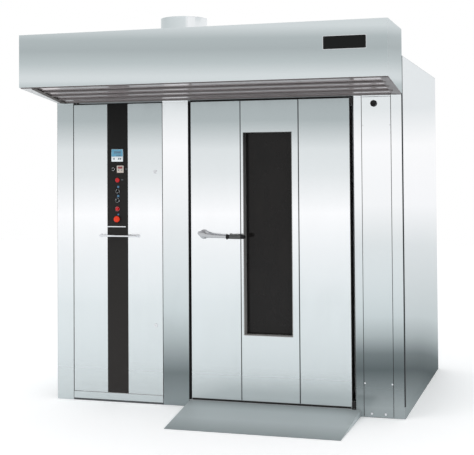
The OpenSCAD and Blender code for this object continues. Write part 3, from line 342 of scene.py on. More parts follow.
def object_point(tree):
    """Place of the shaded point on the object."""
    return add(tree, "ShaderNodeTexCoord").outputs["Object"]


def object_axes(tree):
    """X, Y and Z of the shaded point on the object."""
    return add(tree, "ShaderNodeSeparateXYZ", Vector=object_point(tree)).outputs


def new_group(name, inputs, outputs):
    """An empty node group with named sockets, and its two end nodes."""
    tree = bpy.data.node_groups.new(name, "ShaderNodeTree")
    add_socket = tree.interface.new_socket
    for label, kind, value in inputs:
        add_socket(label, in_out="INPUT", socket_type="NodeSocket" + kind).default_value = value
    for label, kind in outputs:
        add_socket(label, in_out="OUTPUT", socket_type="NodeSocket" + kind)
    return tree, tree.nodes.new("NodeGroupInput"), tree.nodes.new("NodeGroupOutput")


def use(tree, group, **inputs):
    """Places a group in a shader tree with its own values."""
    return add(tree, "ShaderNodeGroup", {"node_tree": group}, **inputs).outputs


# %% The shared effects
def make_grain():
    """Noise on object coordinates times a stretch: long in one direction, fine in the others."""
    tree, start, end = new_group("rolled_grain", [("Stretch", "Vector", (30, 30, 30))], [("Grain", "Float")])
    scaled = add(tree, "ShaderNodeVectorMath", {"operation": "MULTIPLY"}, n0=object_point(tree),
                 n1=start.outputs["Stretch"])
    noise = add(tree, "ShaderNodeTexNoise", Vector=scaled.outputs[0], Scale=1.0, Detail=3.0)
    fill(tree, end, Grain=noise.outputs["Fac"])
    return tree


def make_smears():
    """Two layers of soft noise, the finer one pulled sideways, as a cloth leaves them."""
    tree, start, end = new_group("wiping_smears", [("Size", "Float", 3.0)], [("Smear", "Float")])
    soft = add(tree, "ShaderNodeTexNoise", Vector=object_point(tree), Scale=start.outputs["Size"], Detail=2.0,
               Distortion=0.6)
    pulled = add(tree, "ShaderNodeVectorMath", {"operation": "MULTIPLY"}, n0=object_point(tree),
                 n1=(14.0, 14.0, 3.0))
    fine = add(tree, "ShaderNodeTexNoise", Vector=pulled.outputs[0], Scale=1.0, Detail=4.0)
    both = math_node(tree, "MULTIPLY", soft.outputs["Fac"], fine.outputs["Fac"])
    fill(tree, end, Smear=ranged(tree, both, From_Min=0.12, From_Max=0.42))
    return tree


def make_edges():
    """Normal = the average over a small radius, and edge = how far it turns from the flat face."""
    tree, start, end = new_group("bent_edges", [("Width", "Float", 0.002)],
                                 [("Normal", "Vector"), ("Edge", "Float")])
    bevel = add(tree, "ShaderNodeBevel", {"samples": 4}, Radius=start.outputs["Width"]).outputs[0]
    flat = add(tree, "ShaderNodeNewGeometry").outputs["Normal"]
    facing = add(tree, "ShaderNodeVectorMath", {"operation": "DOT_PRODUCT"}, n0=bevel, n1=flat)
    fill(tree, end, Normal=bevel, Edge=ranged(tree, facing.outputs["Value"], From_Min=1.0, From_Max=0.86))
    return tree


def make_mirrored(eye=1.46, across=0.044, deep=-0.142):
    """Height = eye + (z - eye) * (1 + across * x + deep * (y - front)).

    A line that polished sheets mirror runs level at eye height, and closes in on it with distance. This
    height places the painted reflections in the sheets' colour.
    """
    tree, start, end = new_group("mirrored_height", [("Front", "Float", -0.55)], [("Height", "Float")])
    x, y, z = object_axes(tree)
    side = math_node(tree, "MULTIPLY_ADD", x, across, 1.0)
    depth = math_node(tree, "SUBTRACT", y, start.outputs["Front"])
    scale = math_node(tree, "MULTIPLY_ADD", depth, deep, side)
    above = math_node(tree, "SUBTRACT", z, eye)
    fill(tree, end, Height=math_node(tree, "MULTIPLY_ADD", above, scale, eye))
    return tree


GRAIN, SMEARS, EDGES, MIRRORED = make_grain(), make_smears(), make_edges(), make_mirrored()

# %% [markdown]
# One builder makes every plain finish. Its tone is how far the grain moves the colour, and its edge colour
# is the colour along the edges: real wear on paint and plastic, and a painted highlight on polished metal.
# A sheet's colour may also change with its height: a painted reflection of the light room high up and the
# dark floor low down, as polished sheet on a real oven shows them, so that the eye reads it as steel.

# %% The builder of a finish
def by_place(tree, stops, axis, low, high):
    """Colour along one axis: place -> (place - low) / (high - low) -> a ramp through the stops."""
    place = use(tree, MIRRORED)["Height"] if axis == "mirrored" else object_axes(tree)["xyz".index(axis)]
    ramp = add(tree, "ShaderNodeValToRGB", Fac=ranged(tree, place, From_Min=low, From_Max=high))
    elements = ramp.color_ramp.elements
    for place, colour in stops:
        elements.new((place - low) / (high - low)).color = seen(*colour)
    elements.remove(elements[0])
    elements.remove(elements[-1])
    return ramp.outputs["Color"]


def finish(name, colour, metallic=0.0, rough=0.4, stretch=30, tone=0.08, smear=0.08, bump=0.1, depth=0.0004,
           wear=None, width=0.002, coat=0.0, axis="z", low=0.0, high=2.4, specular=0.5, seam=None, plain=(),
           slot=None):
    """Principled finish: colour * (1 - tone + 2 tone * grain), an edge colour (a painted highlight on
    polished metal, wear on other finishes), roughness + smears.

    A stretch of one number holds in all directions. A painted shadow gap, given as (depth, height), darkens
    the sheet's front edge up to a depth and above a height, where shade falls between sheets. Each plain
    (axis, matt, full) takes the metal down to a tenth from the full place to the matt place.
    """
    material = bpy.data.materials.new(name)
    material.use_nodes = True
    tree = material.node_tree
    shader = tree.nodes["Principled BSDF"]
    grain = use(tree, GRAIN, Stretch=stretch if isinstance(stretch, tuple) else (stretch,) * 3)["Grain"]
    smears = use(tree, SMEARS)["Smear"]
    edges = use(tree, EDGES, Width=width)
    swing = ranged(tree, grain, From_Min=0.3, From_Max=0.7, To_Min=1 - tone, To_Max=1 + tone)
    base = by_place(tree, colour, axis, low, high) if isinstance(colour, list) else seen(*colour)[:3]
    shade = add(tree, "ShaderNodeVectorMath", {"operation": "SCALE"}, n0=base, Scale=swing).outputs[0]
    # edge colour: a painted highlight on polished metal and chrome, and edge wear on painted and moulded
    # finishes
    if wear:
        shade = blend(tree, math_node(tree, "MULTIPLY", edges["Edge"], 0.6), shade, seen(*wear))
    # painted shadow: a dark strip along the side sheet's front edge, for the shade in the gap to the front
    # frame
    if seam:
        near = math_node(tree, "LESS_THAN", object_axes(tree)["Y"], seam[0])
        above = math_node(tree, "GREATER_THAN", object_axes(tree)["Z"], seam[1])
        shade = blend(tree, math_node(tree, "MULTIPLY", near, above), shade, seen(70, 74, 76))
    relief = add(tree, "ShaderNodeBump", Strength=bump, Distance=depth, Height=grain, Normal=edges["Normal"])
    fill(tree, shader, Base_Color=shade, Metallic=metallic, Normal=relief.outputs[0], Coat_Weight=coat,
         Roughness=ranged(tree, smears, To_Min=rough - smear / 2, To_Max=rough + smear / 2),
         Specular_IOR_Level=specular)
    metal = metallic
    for way, matt, full in plain:
        place = object_axes(tree)["xyz".index(way)]
        level = ranged(tree, place, From_Min=matt, From_Max=full, To_Min=0.1, To_Max=1.0)
        metal = math_node(tree, "MULTIPLY", level, metal)
    if plain:
        fill(tree, shader, Metallic=metal)
    return material

# %% [markdown]
# ## Steel by the sheet
# All outer sheets are the same polished stainless, but each stands at its own angle to the room, so
# each shows another run of light and dark from top to bottom. The flush sheets on the left and the door
# stay bright down to the floor, and the pillar and the right-hand sheets have a dark band low down. A
# few round tones describe each run: a place in metres and how light the sheet is there.

# %% Stainless finishes
# painted light: these tones are the painted reflection and shade put into a sheet's colour, and the lean is
# the room's tint
def painted_light_tones(*stops):
    """Colour = (tone - lean, tone, tone + 2), where the lean to green-blue fades out towards white."""
    colours = []
    for place, tone in stops:
        lean = 9 * min(1.0, (255 - tone) / 50)
        colours.append((place, (tone - lean, tone, min(255, tone + 2))))
    return colours


# painted reflection: each run for the upright sheets and the hood is the light room and dark floor that
# polished sheet mirrors
BRIGHT_REFLECTION = painted_light_tones((0.05, 200), (0.20, 210), (0.65, 218), (0.95, 235), (1.20, 250), (1.45, 230),
                     (1.60, 225), (1.78, 182), (1.90, 178))
PILLAR_REFLECTION = painted_light_tones((0.05, 150), (0.22, 120), (0.45, 178), (0.60, 200), (0.90, 220), (1.25, 240),
                     (1.62, 250), (1.86, 230))
BANDED_REFLECTION = painted_light_tones((0.0, 160), (0.23, 100), (0.33, 120), (0.44, 170), (0.56, 197), (1.00, 224), (1.25, 245),
                     (1.62, 250), (1.85, 230))
SIDE_REFLECTION = painted_light_tones((0.0, 160), (0.23, 100), (0.33, 125), (0.44, 180), (0.56, 208), (1.00, 228), (1.25, 250),
                   (1.62, 254), (1.85, 234))
HOOD_REFLECTION = painted_light_tones((1.99, 195), (2.03, 217), (2.06, 217), (2.14, 194), (2.22, 178), (2.29, 184), (2.36, 215))
# painted light and shade along the ramp's depth: lighter in the middle, darker at the toe and by the oven
RAMP_LIGHT_AND_SHADE = painted_light_tones((-1.17, 158), (-0.90, 198), (-0.70, 198), (-0.55, 172))
# painted highlight: the collar tube is lighter on one side, by its x
COLLAR_HIGHLIGHT = painted_light_tones((-0.30, 197), (-0.10, 217), (-0.08, 240), (0.02, 235))


def sheet(name, colour, **own):
    """A polished sheet: one set of values for all, changed where a sheet has its own."""
    # the near-white edge colour of polished sheet is a painted highlight along its bends
    steel = dict(metallic=1.0, rough=0.2, smear=0.08, stretch=(60, 60, 900), tone=0.008, bump=0.015,
                 wear=(246, 248, 250), width=0.0025, axis="mirrored", low=-0.1, high=2.5, slot="steel")
    return finish(name, colour, **dict(steel, **own))


# the colour of each sheet below is its painted reflection run, placed by the mirrored height
door_steel = sheet("bright_stainless", BRIGHT_REFLECTION, plain=[("z", 0.08, 0.26)])
banded_steel = sheet("banded_stainless", BANDED_REFLECTION, rough=0.1, smear=0.04, plain=[("z", 0.06, 0.22)])
pillar_steel = sheet("pillar_stainless", PILLAR_REFLECTION)
hood_steel = sheet("hood_stainless", HOOD_REFLECTION, stretch=(2, 900, 900), bump=0.01, specular=0.0,
                   plain=[("x", right - 0.0004, right - 0.0014)])
side_steel = sheet("side_stainless", SIDE_REFLECTION, metallic=0.1, rough=0.45, specular=0.0, tone=0.004, bump=0.005,
                   wear=None, seam=(-0.524, 0.07))
# painted shade: the lintel's colour is darkened for the shade under the hood
lintel_steel = sheet("shaded_stainless", (134, 140, 142), metallic=0.5, rough=0.3, wear=None)
# painted shade: the slats under the hood get darker towards the rear, deeper in the hood's shade
under_steel = sheet("hood_inner_stainless", [(-1.07, (190, 183, 184)), (-0.55, (178, 171, 172))],
                    metallic=0.5, rough=0.12, specular=0.1, bump=0.0, smear=0.04, tone=0.004, wear=None,
                    axis="y", low=-1.2, high=-0.5)
black_steel = finish("blackened_steel", (44, 43, 43), metallic=0.4, rough=0.45, smear=0.1, stretch=300,
                     tone=0.1, wear=(92, 92, 92), specular=0.2, slot="steel")
# the ramp's run of light and dark is painted; its scuffed grain is real
ramp_steel = sheet("walked_stainless_painted_light", RAMP_LIGHT_AND_SHADE, metallic=0.25, rough=0.5, smear=0.06, bump=0.005, specular=0.1,
                   stretch=(500, 4, 500), axis="y", low=-1.2, high=-0.5, wear=None)
# painted highlight down one side of the collar tube
collar_steel = sheet("collar_stainless", COLLAR_HIGHLIGHT, axis="x", low=-0.4, high=0.2, wear=None)

# %% [markdown]
# The rest of the oven needs fewer words: zinc-coated and plain sheet inside, paint on motors and on the
# burner, chrome on the small fittings, plastics on the controls, rubber, glass and mineral wool. Wool
# is rough at the scale of millimetres, and plastics far below that.

# %% The other finishes, by the record's slots
# painted shade: the black strip darkens towards its top, under the hood
BLACK_STRIP_SHADE = [(0.10, (48, 46, 45)), (1.25, (38, 37, 36)), (1.90, (20, 21, 21))]
# painted shade: the reveal is darker towards its top
REVEAL_SHADE = [(0.45, (158, 157, 155)), (1.10, (128, 128, 126)), (1.71, (70, 71, 70))]
kinds = {
    "liner_steel": finish("plain_stainless", (196, 200, 202), metallic=0.8, rough=0.36, smear=0.06,
                          stretch=(40, 40, 700), tone=0.03, bump=0.03, wear=(225, 228, 230)),
    "frame_steel": finish("dark_frame_paint", (66, 69, 72), rough=0.5, stretch=180, tone=0.12, bump=0.3,
                          wear=(128, 130, 132), width=0.003),
    "galvanised": finish("zinc_coated", (184, 189, 192), metallic=0.9, rough=0.42, smear=0.2,
                         stretch=(60, 45, 60), tone=0.16, bump=0.08, wear=(214, 218, 221)),
    "chrome": finish("satin_chrome", (222, 224, 227), metallic=1.0, rough=0.16, smear=0.12, stretch=400,
                     tone=0.03, bump=0.05, wear=(247, 248, 250), width=0.001),
    "black_strip": finish("black_enamel", BLACK_STRIP_SHADE, smear=0.12, stretch=(90, 90, 300), tone=0.04,
                          bump=0.05, wear=(80, 78, 76), width=0.0012, specular=0.1),
    "black_plastic": finish("moulded_black", (22, 22, 23), rough=0.38, stretch=900, tone=0.15, bump=0.15,
                            depth=0.0002, wear=(66, 66, 68), width=0.0008, specular=0.2),
    "seal_rubber": finish("sealing_rubber", (18, 18, 19), rough=0.62, stretch=(500, 500, 60), tone=0.2,
                          bump=0.2, wear=(40, 40, 41), specular=0.1),
    "reveal": finish("dark_reveal", REVEAL_SHADE, rough=0.5, stretch=200, tone=0.1),
    "wool": finish("mineral_wool", (196, 182, 128), rough=0.95, stretch=(260, 260, 90), tone=0.4, bump=1.0,
                   depth=0.004, width=0.004, specular=0.1),
    "blue_paint": finish("blue_enamel", (52, 92, 148), rough=0.34, stretch=350, bump=0.3,
                         wear=(128, 156, 190)),
    "burner_paint": finish("red_enamel", (170, 48, 38), rough=0.34, stretch=350, bump=0.3,
                           wear=(206, 120, 108)),
    "dark_steel": finish("heated_steel", (92, 84, 78), metallic=0.8, rough=0.55, smear=0.2, stretch=25,
                         tone=0.35, bump=0.4, wear=(140, 126, 112)),
    "brass": finish("plain_brass", (198, 164, 92), metallic=1.0, rough=0.3, smear=0.16, stretch=120,
                    wear=(228, 204, 148)),
    "controller_plastic": finish("controller_case", (206, 222, 228), rough=0.35, stretch=800, tone=0.05),
    "timer_plastic": finish("timer_case", (196, 186, 178), stretch=800, tone=0.05, wear=(214, 206, 198),
                            width=0.001),
    "red_plastic": finish("red_plastic", (186, 16, 26), rough=0.22, stretch=600, tone=0.06, bump=0.06,
                          wear=(214, 70, 70), width=0.001, coat=0.3, specular=0.2),
    "orange_red": finish("orange_red_plastic", (222, 52, 12), rough=0.28, stretch=600, tone=0.06, bump=0.06,
                         wear=(236, 92, 52), width=0.001, coat=0.2, specular=0.2),
    "steel": door_steel,
}
cast_metal = finish("cast_lever_metal", (184, 186, 189), metallic=1.0, rough=0.3, smear=0.1, stretch=500,
                    tone=0.06, wear=(226, 228, 230), width=0.001, slot="chrome")
gap_rubber = finish("gap_rubber", (46, 45, 45), rough=0.6, stretch=(500, 500, 60), tone=0.15,
                    wear=(64, 64, 64), specular=0.1, slot="seal_rubber")


# %% Tinted glass
def tinted_glass():
    """A dark coated pane: it lets a little light through and mirrors very little of the room."""
    material = bpy.data.materials.new("tinted_pane")
    material.use_nodes = True
    tree = material.node_tree
    smears = use(tree, SMEARS, Size=5.0)["Smear"]
    tint = blend(tree, smears, seen(27, 26, 26), seen(33, 31, 30))
    fill(tree, tree.nodes["Principled BSDF"], Base_Color=tint,
         Roughness=ranged(tree, smears, To_Min=0.03, To_Max=0.12), Metallic=0.0, Transmission_Weight=0.15,
         Specular_IOR_Level=0.12)
    return material


kinds["dark_glass"] = tinted_glass()

# %% Every solid takes the finish of its slot
sheets = {"kick_plate": door_steel, "centre_pillar": pillar_steel, "hood_shell": hood_steel,
          "lintel": lintel_steel, "entry_ramp": ramp_steel, "outer_panels": side_steel,
          "hood_baffles": under_steel, "hinge_brackets": black_steel,
          "service_panel": banded_steel, "front_stiles": banded_steel}
for part in frame["record"]["subparts"]:
    node = frame["nodes"][part["node"]]
    node.data.materials.clear()
    node.data.materials.append(sheets.get(part["node"], kinds[part["material_slot"]]))
print("finishes", len(bpy.data.materials))

# %% [markdown]
# ## The lever
# The door's lever is a polished casting: a round rose on the door, a hub over it and an arm that swells
# at the hub and thins towards a black grip. A cylinder and a bar would miss the swell, so the arm is a
# circle carried along a line with a radius that changes on the way, pressed flat towards the door.

# %% Lever and grip
lever_low, lever_high = places("lever_handle")
grip_low, grip_high = places("lever_grip")
_, lever_y, grip_z = middle("lever_grip")
pivot_x, lever_z = lever_low[0] + 0.024, lever_high[2] - 0.024

rose = turned([(0.002, -0.0003), (0.0285, -0.0003), (0.029, -0.002), (0.029, -0.008), (0.0270, -0.0105),
               (0.0215, -0.0125), (0.018, -0.016), (0.0165, -0.024), (0.0165, -0.030), (0.002, -0.030)],
              (pivot_x, front, lever_z))
spindle = turned([(0.009, -0.028), (0.009, 0.042)], (pivot_x, front, lever_z), steps=24)

# radius(s) = thick at the hub, thin at the neck, and y is pressed towards the lever's own plane
reach = [-0.026, -0.018, -0.006, 0.006, 0.020, 0.040, 0.070, 0.105, 0.135, 0.158]
rise = [0.0125, 0.0085, 0.0035, -0.001, -0.004, -0.0065, -0.009, -0.0105, -0.0115, grip_z - lever_z]
size = [0.0070, 0.0125, 0.0180, 0.0195, 0.0168, 0.0134, 0.0112, 0.0100, 0.0094, 0.0090]
fine, marks = np.linspace(0, 1, 46), np.linspace(0, 1, len(reach))
arm_line = np.stack([pivot_x + np.interp(fine, marks, reach), np.full(46, lever_y),
                     lever_z + np.interp(fine, marks, rise)], -1)
soft = np.convolve(np.pad(np.interp(fine, marks, size), 3, mode="edge"), np.ones(7) / 7, mode="valid")
arm_points, arm_faces = swept(arm_line, soft, steps=28)
arm_points[:, 1] = lever_y + (arm_points[:, 1] - lever_y) * 0.72
tang_x = np.linspace(grip_low[0] - 0.002, grip_high[0] - 0.03, 4)
tang = swept([(x, lever_y, grip_z) for x in tang_x], 0.006)
make("lever_casting", [rose, spindle, (arm_points, arm_faces), tang], cast_metal, "lever", "lever_handle")

# the grip: a collar, a swelling handle and a round end, with five grey lines along its front that are a
# painted highlight
GRIP_R = 0.0126
length = grip_high[0] - grip_low[0]
s = np.linspace(0, 1, 22)[:-1]
handle = list(zip(GRIP_R + 0.0013 * np.sin(np.pi * s), 0.010 + s * (length - 0.022)))
tip = [(GRIP_R * np.cos(a), length - GRIP_R + GRIP_R * np.sin(a)) for a in np.linspace(0, 1.5, 8)]
collar = [(0.0065, 0.0), (0.0155, 0.0), (0.017, 0.0015), (0.017, 0.0065), (0.0155, 0.008), (0.0128, 0.0095)]
grip = turned(collar + handle + tip, (grip_low[0], lever_y, grip_z), "x", steps=60)
make("grip_moulding", [grip], "black_plastic", "lever", "lever_grip", sharp=50)
run = np.linspace(0.022, length - 0.03, 12)
bulge = GRIP_R + 0.0013 * np.sin(np.pi * (run - 0.010) / (length - 0.022)) - 0.0004
# painted highlight: grey lines over the front of the black grip
make("grip_highlight_lines", [swept(np.stack([grip_low[0] + run, lever_y - bulge * np.sin(turn),
                                     grip_z + bulge * np.cos(turn)], -1), 0.0009, steps=8)
                     for turn in np.radians([62, 90, 118, 152, 28])],
     finish("grey_painted_highlight", (176, 178, 178), stretch=700, tone=0.05, slot="timer_plastic"), "lever")
print("lever length", round(float(grip_high[0] - lever_low[0]), 4))

# %% [markdown]
# ## Pull bar and cam locks
# The bay door is opened by a bent rod on two small roses, and held by two cam locks. The rod is one
# swept line with rounded corners, which gives the bends of a real bar.

# %% Pull bar
BAY_DOOR = "service_bay_door"
bar_low, bar_high = places("pull_bar")
bar_r, bar_z = 0.006, middle("pull_bar")[2]
bar_y = bar_low[1] + bar_r
ends = (bar_low[0] + bar_r, bar_high[0] - bar_r)
bar_line = rounded_line([(ends[0], front, bar_z), (ends[0], bar_y, bar_z), (ends[1], bar_y, bar_z),
                         (ends[1], front, bar_z)], 0.016, steps=9)
bar_roses = [turned([(0.003, 0.0), (0.0118, 0.0), (0.012, -0.0012), (0.0105, -0.0029), (0.0061, -0.003)],
                    (end, front, bar_z), steps=32) for end in ends]
make("bent_pull_bar", [swept(bar_line, bar_r)] + bar_roses, "chrome", BAY_DOOR, "pull_bar")

# %% Cam locks
for name in ("lock_upper", "lock_lower"):
    low, high = places(name)
    x, z = middle(name)[0], high[2] - 0.013
    rosette = turned([(0.002, 0.0015), (0.0125, -0.0001), (0.013, -0.001), (0.0115, -0.0028),
                      (0.0088, -0.003), (0.0086, -0.0018), (0.002, -0.0018)], (x, front, z))
    barrel = turned([(0.009, -0.001), (0.009, high[1] - front)], (x, front, z), steps=32)
    tongue = block((x - 0.006, high[1] - 0.003, low[2]), (x + 0.006, high[1], z), 0.004, 0.0006)
    key = strip((x - 0.0011, x + 0.0011), (-0.0024, -0.0012), (z - 0.005, z + 0.005), 0.0009, 0.0003)
    make(name + "_turned", [rosette, barrel, tongue], "chrome", name, name)
    make(name + "_keyhole", [key], "black_plastic", name)

# %% [markdown]
# ## Controls
# Every control on the black strip is a small turned or moulded piece. A selector is a cap with a raised
# grip ridge, the emergency stop is a mushroom on a neck, and each sits in a bezel. Turned profiles of
# radius and height give the rounded lips that catch the light.

# %% Selectors, button, mushroom and knob
face = places("control_strip")[0][1]
rim = places("switch_bodies")[0][1]
LIFT = 0.0003
SELECTORS = ("selector_upper", "selector_lower")


def head(node):
    """Seat of a control in the plane of the bezels, how far it stands out, its radius and its tail."""
    low, high = places(node)
    return (middle(node)[0], rim, middle(node)[2]), rim - low[1], (high[0] - low[0]) / 2, high[1] - rim


def plate(x, z, plane, proud=0.0003, sunk=0.0004, corner=0.002):
    """A printed field: a thin plate that is proud of a plane in front and sunk into it behind."""
    return block((x[0], plane - proud, z[0]), (x[1], plane + sunk, z[1]), corner, 0.0001)


for name in SELECTORS:
    seat, out, r, tail = head(name)
    x, _, z = seat
    cap = turned([(0.002, tail), (0.005, tail), (0.005, -LIFT), (r - 0.001, -LIFT), (r, -0.0012),
                  (r - 0.0004, -out * 0.38), (r - 0.002, -out * 0.45), (0.003, -out * 0.46)], seat)
    ridge = block((x - 0.0034, rim - out, z - r + 0.0006), (x + 0.0034, rim - out * 0.40, z + r - 0.0006),
                  0.0032, 0.0012)
    make(name + "_moulding", [cap, ridge], "black_plastic", name, name)
    line = plate((x - 0.0007, x + 0.0007), (z + 0.002, z + r - 0.003), rim - out, 0.0002, 0.0006, 0.0006)
    make(name + "_pointer", [line], kinds["controller_plastic"], name)

seat, out, r, tail = head("push_button")
button = turned([(0.002, tail), (0.005, tail), (0.005, -LIFT), (r, -LIFT), (r, -out * 0.62),
                 (r - 0.0006, -out * 0.86), (r - 0.002, -out), (r - 0.0035, -out), (r - 0.005, -out * 0.88),
                 (0.001, -out * 0.84)], seat)
make("push_button_moulding", [button], "red_plastic", "push_button", "push_button")

seat, out, r, tail = head("emergency_stop")
dome = [(r * np.cos(a), -(out - 0.0075) - 0.0075 * np.sin(a)) for a in np.linspace(0, 1.5, 9)]
mushroom = turned([(0.002, tail), (0.005, tail), (0.005, -0.005), (0.0095, -0.005), (0.0098, -0.0056),
                   (r - 0.004, -0.0060), (r - 0.0006, -0.0078)] + dome, seat, steps=56)
make("mushroom_head", [mushroom], "orange_red", "emergency_stop", "emergency_stop")

seat, out, r, tail = head("small_knob")
x, _, z = seat
knob = turned([(0.002, tail), (0.0045, tail), (0.0045, -LIFT), (r * 0.975, -LIFT), (r * 0.975, -0.003),
               (r - 0.0012, -0.0042), (r - 0.0022, -out + 0.0012), (r - 0.0034, -out), (0.001, -out)],
              seat, steps=60, lobes=(12, 0.025))
make("small_knob_moulding", [knob], "black_plastic", "small_knob", "small_knob")
line = plate((x - 0.0006, x + 0.0006), (z + 0.001, z + r - 0.0038), rim - out, 0.0002, 0.0005, 0.0005)
make("small_knob_mark", [line], kinds["controller_plastic"], "small_knob")

# %% Indicator lens and service knob
low, high = places("indicator_lamp")
x, _, z = middle("indicator_lamp")
r, out, tail = 0.0146, face - low[1], high[1] - face
dome = [(r * np.cos(a) ** 0.8, -out * 0.45 - out * 0.55 * np.sin(a)) for a in np.linspace(0, 1.5, 9)]
lens = turned([(0.002, tail), (0.004, tail), (0.004, 0.0), (r, -0.0002), (r, -0.0036)] + dome, (x, face, z))
make("indicator_lens", [lens], "red_plastic", BAY_DOOR, "indicator_lamp")

low, high = places("service_knob")
x, _, z = middle("service_knob")
r, out, tail = (high[0] - low[0]) / 2, front - low[1], high[1] - front
knob = turned([(0.002, tail), (0.005, tail), (0.005, -0.0003), (r - 0.001, -0.0004), (r, -0.0016),
               (r, -0.006), (r - 0.0014, -0.0075), (r - 0.0022, -out + 0.0026), (r - 0.005, -out),
               (r - 0.009, -out + 0.0012), (0.001, -out + 0.0014)], (x, front, z), steps=72, lobes=(8, 0.03))
make("service_knob_moulding", [knob], "black_plastic", "service_knob", "service_knob")


# %% Bezels
def bezels(nodes, inner=0.01068, outer=0.0149, out=0.00425):
    """Rings with rounded lips that stand on the fascia, one round each control."""
    profile = [(inner, 0.0), (inner, -out + 0.0003), (inner + 0.0005, -out), (outer - 0.0009, -out),
               (outer, -out + 0.0010), (outer, 0.0)]
    return [turned(profile, (middle(node)[0], face, middle(node)[2]), steps=44, hollow=True)
            for node in nodes]


make("selector_bezels", bezels([*SELECTORS, "emergency_stop"]), "black_plastic", BAY_DOOR)
make("button_bezel", bezels(["push_button"]), "red_plastic", BAY_DOOR)
make("silver_rings", bezels(SELECTORS, 0.0118, 0.0133, 0.0049)
     + bezels(["small_knob"], 0.0098, 0.0114, 0.0046), "chrome", BAY_DOOR)
print("controls dressed")

# %% [markdown]
# ## Instruments and legends
# The controller has a membrane front: a blue display window with two rows of digits above a white field
# with three keys. The digits are the seven bars of a generic display, all lit, so they name nothing. Each
# bar is a thin hexagon a tenth of a millimetre proud, which reads as print and casts no visible shadow.

# %% Controller and timer fronts
PRINT_PROUD, BAR_PROUD = 0.0003, 0.0001


def seven(x, z, w, h, y):
    """Seven thin hexagonal bars of one digit about (x, z) on the plane y, as closed patches."""
    bars = [(0, h / 2, w, 1), (0, 0, w, 1), (0, -h / 2, w, 1)]
    bars += [(sx * w / 2, sz * h / 4, h / 2, 0) for sx in (-1, 1) for sz in (-1, 1)]
    thick = w * 0.11
    patches = []
    for dx, dz, long, flat in bars:
        half = long / 2 - thick * 1.2
        line = np.array([[-half - thick, 0], [-half, -thick], [half, -thick], [half + thick, 0],
                         [half, thick], [-half, thick]])
        if not flat:
            line = line[:, ::-1]
        patches.append(closed([upright(line, (x + dx, y, z + dz), -d) for d in (0, BAR_PROUD)]))
    return patches


def digits(x, z, w, count, plane, slim=1.7, pitch=1.6):
    """Digits side by side about x: slim is their height and pitch their distance, in widths."""
    return [bar for k in range(count)
            for bar in seven(x + (k - (count - 1) / 2) * w * pitch, z, w, w * slim, plane - PRINT_PROUD)]


def instrument(node, name, corner, edge, inset):
    """A case before the fascia and a can behind it. Gives middle, front plane and half the width."""
    low, high = places(node)
    case = block(low, (high[0], face, high[2]), corner, edge)
    can = block((low[0] + inset, face - 0.001, low[2] + inset), (high[0] - inset, high[1], high[2] - inset),
                0.002, 0.001)
    make(name, [case, can], node + "_plastic", BAY_DOOR, node)
    return middle(node)[0], middle(node)[2], low[1], (high[0] - low[0]) / 2


def printed(name, colour, **own):
    """A printed or moulded field."""
    return finish(name, colour, stretch=900, **own)


x, z, plane, half = instrument("controller", "controller_case", 0.004, 0.0014, 0.004)
sides = (x - half + 0.0015, x + half - 0.0015)
grey_print = printed("grey_print", (104, 122, 130), rough=0.5, tone=0.05)
make("display_window", [plate(sides, (z - 0.007, z + half - 0.0015), plane, corner=0.003)],
     printed("display_field", (92, 158, 188), rough=0.25, tone=0.04, coat=0.3), BAY_DOOR)
make("key_window", [plate(sides, (z - half + 0.0015, z - 0.0075), plane, corner=0.003)],
     printed("key_field", (232, 238, 242), rough=0.35, tone=0.03), BAY_DOOR)
make("display_digits", digits(x + 0.002, z + 0.020, 0.0078, 4, plane)
     + digits(x + 0.009, z + 0.001, 0.0052, 4, plane),
     printed("dark_red_bars", (74, 26, 40), tone=0.05), BAY_DOOR)
make("membrane_keys", [plate((col - 0.0045, col + 0.0045), (z - 0.0275, z - 0.0155), plane, 0.0005, 0.0002)
                       for col in (x - 0.022, x + 0.011, x + 0.023)], grey_print, BAY_DOOR)

x, z, plane, half = instrument("timer", "timer_case_front", 0.003, 0.0012, 0.003)
make("timer_display", [plate((x - half + 0.007, x + half - 0.007), (z + 0.003, z + half - 0.006), plane,
                             corner=0.0015)],
     printed("timer_display", (108, 36, 44), rough=0.25, tone=0.05, coat=0.4), BAY_DOOR)
make("timer_digits", digits(x, z + 0.010, 0.005, 3, plane, 1.6, 1.7),
     printed("lit_bars", (206, 92, 92), tone=0.03), BAY_DOOR)
make("timer_keys", [plate((col - 0.0042, col + 0.0042), (z - 0.009, z - 0.003), plane, 0.0005, 0.0002, 0.0015)
                    for col in (x - 0.0105, x + 0.0105)], grey_print, BAY_DOOR)

# %% Legend plates, trim bar and name plate
def legend(node, x, z, proud=0.0005, corner=0.002):
    """A small plate on the fascia beside a control: x and z are pairs counted from the node's middle."""
    at = middle(node)
    return plate((at[0] + x[0], at[0] + x[1]), (at[2] + z[0], at[2] + z[1]), face, proud, 0.0002, corner)


over_controls = (("selector_upper", 0.028, 0.0065), ("selector_lower", 0.027, 0.007),
                 ("emergency_stop", 0.029, 0.0055))
make("legend_plates", [legend(node, (0.005 - r, 0.005 + r), (up - r, up + r), 0.0006)
                       for node, up, r in over_controls], printed("legend_blue", (70, 118, 152)), BAY_DOOR)
make("side_legends", [legend("indicator_lamp", (0.024, 0.040), (-0.002, 0.006)),
                      legend("timer", (half + 0.012, half + 0.021), (-0.005, 0.006), corner=0.003)],
     printed("legend_grey", (66, 72, 76), rough=0.5), BAY_DOOR)

# the trim and the name plate have no solid of their own, so their places are given in metres
low, high = places("control_strip")
trim_z = 1.1145
trim = block((low[0] + 0.001, face - 0.0036, trim_z - 0.0035),
             (high[0] - 0.0145, face + 0.0014, trim_z + 0.0035), 0.002, 0.0012)
make("fascia_trim", [trim], "chrome", BAY_DOOR)

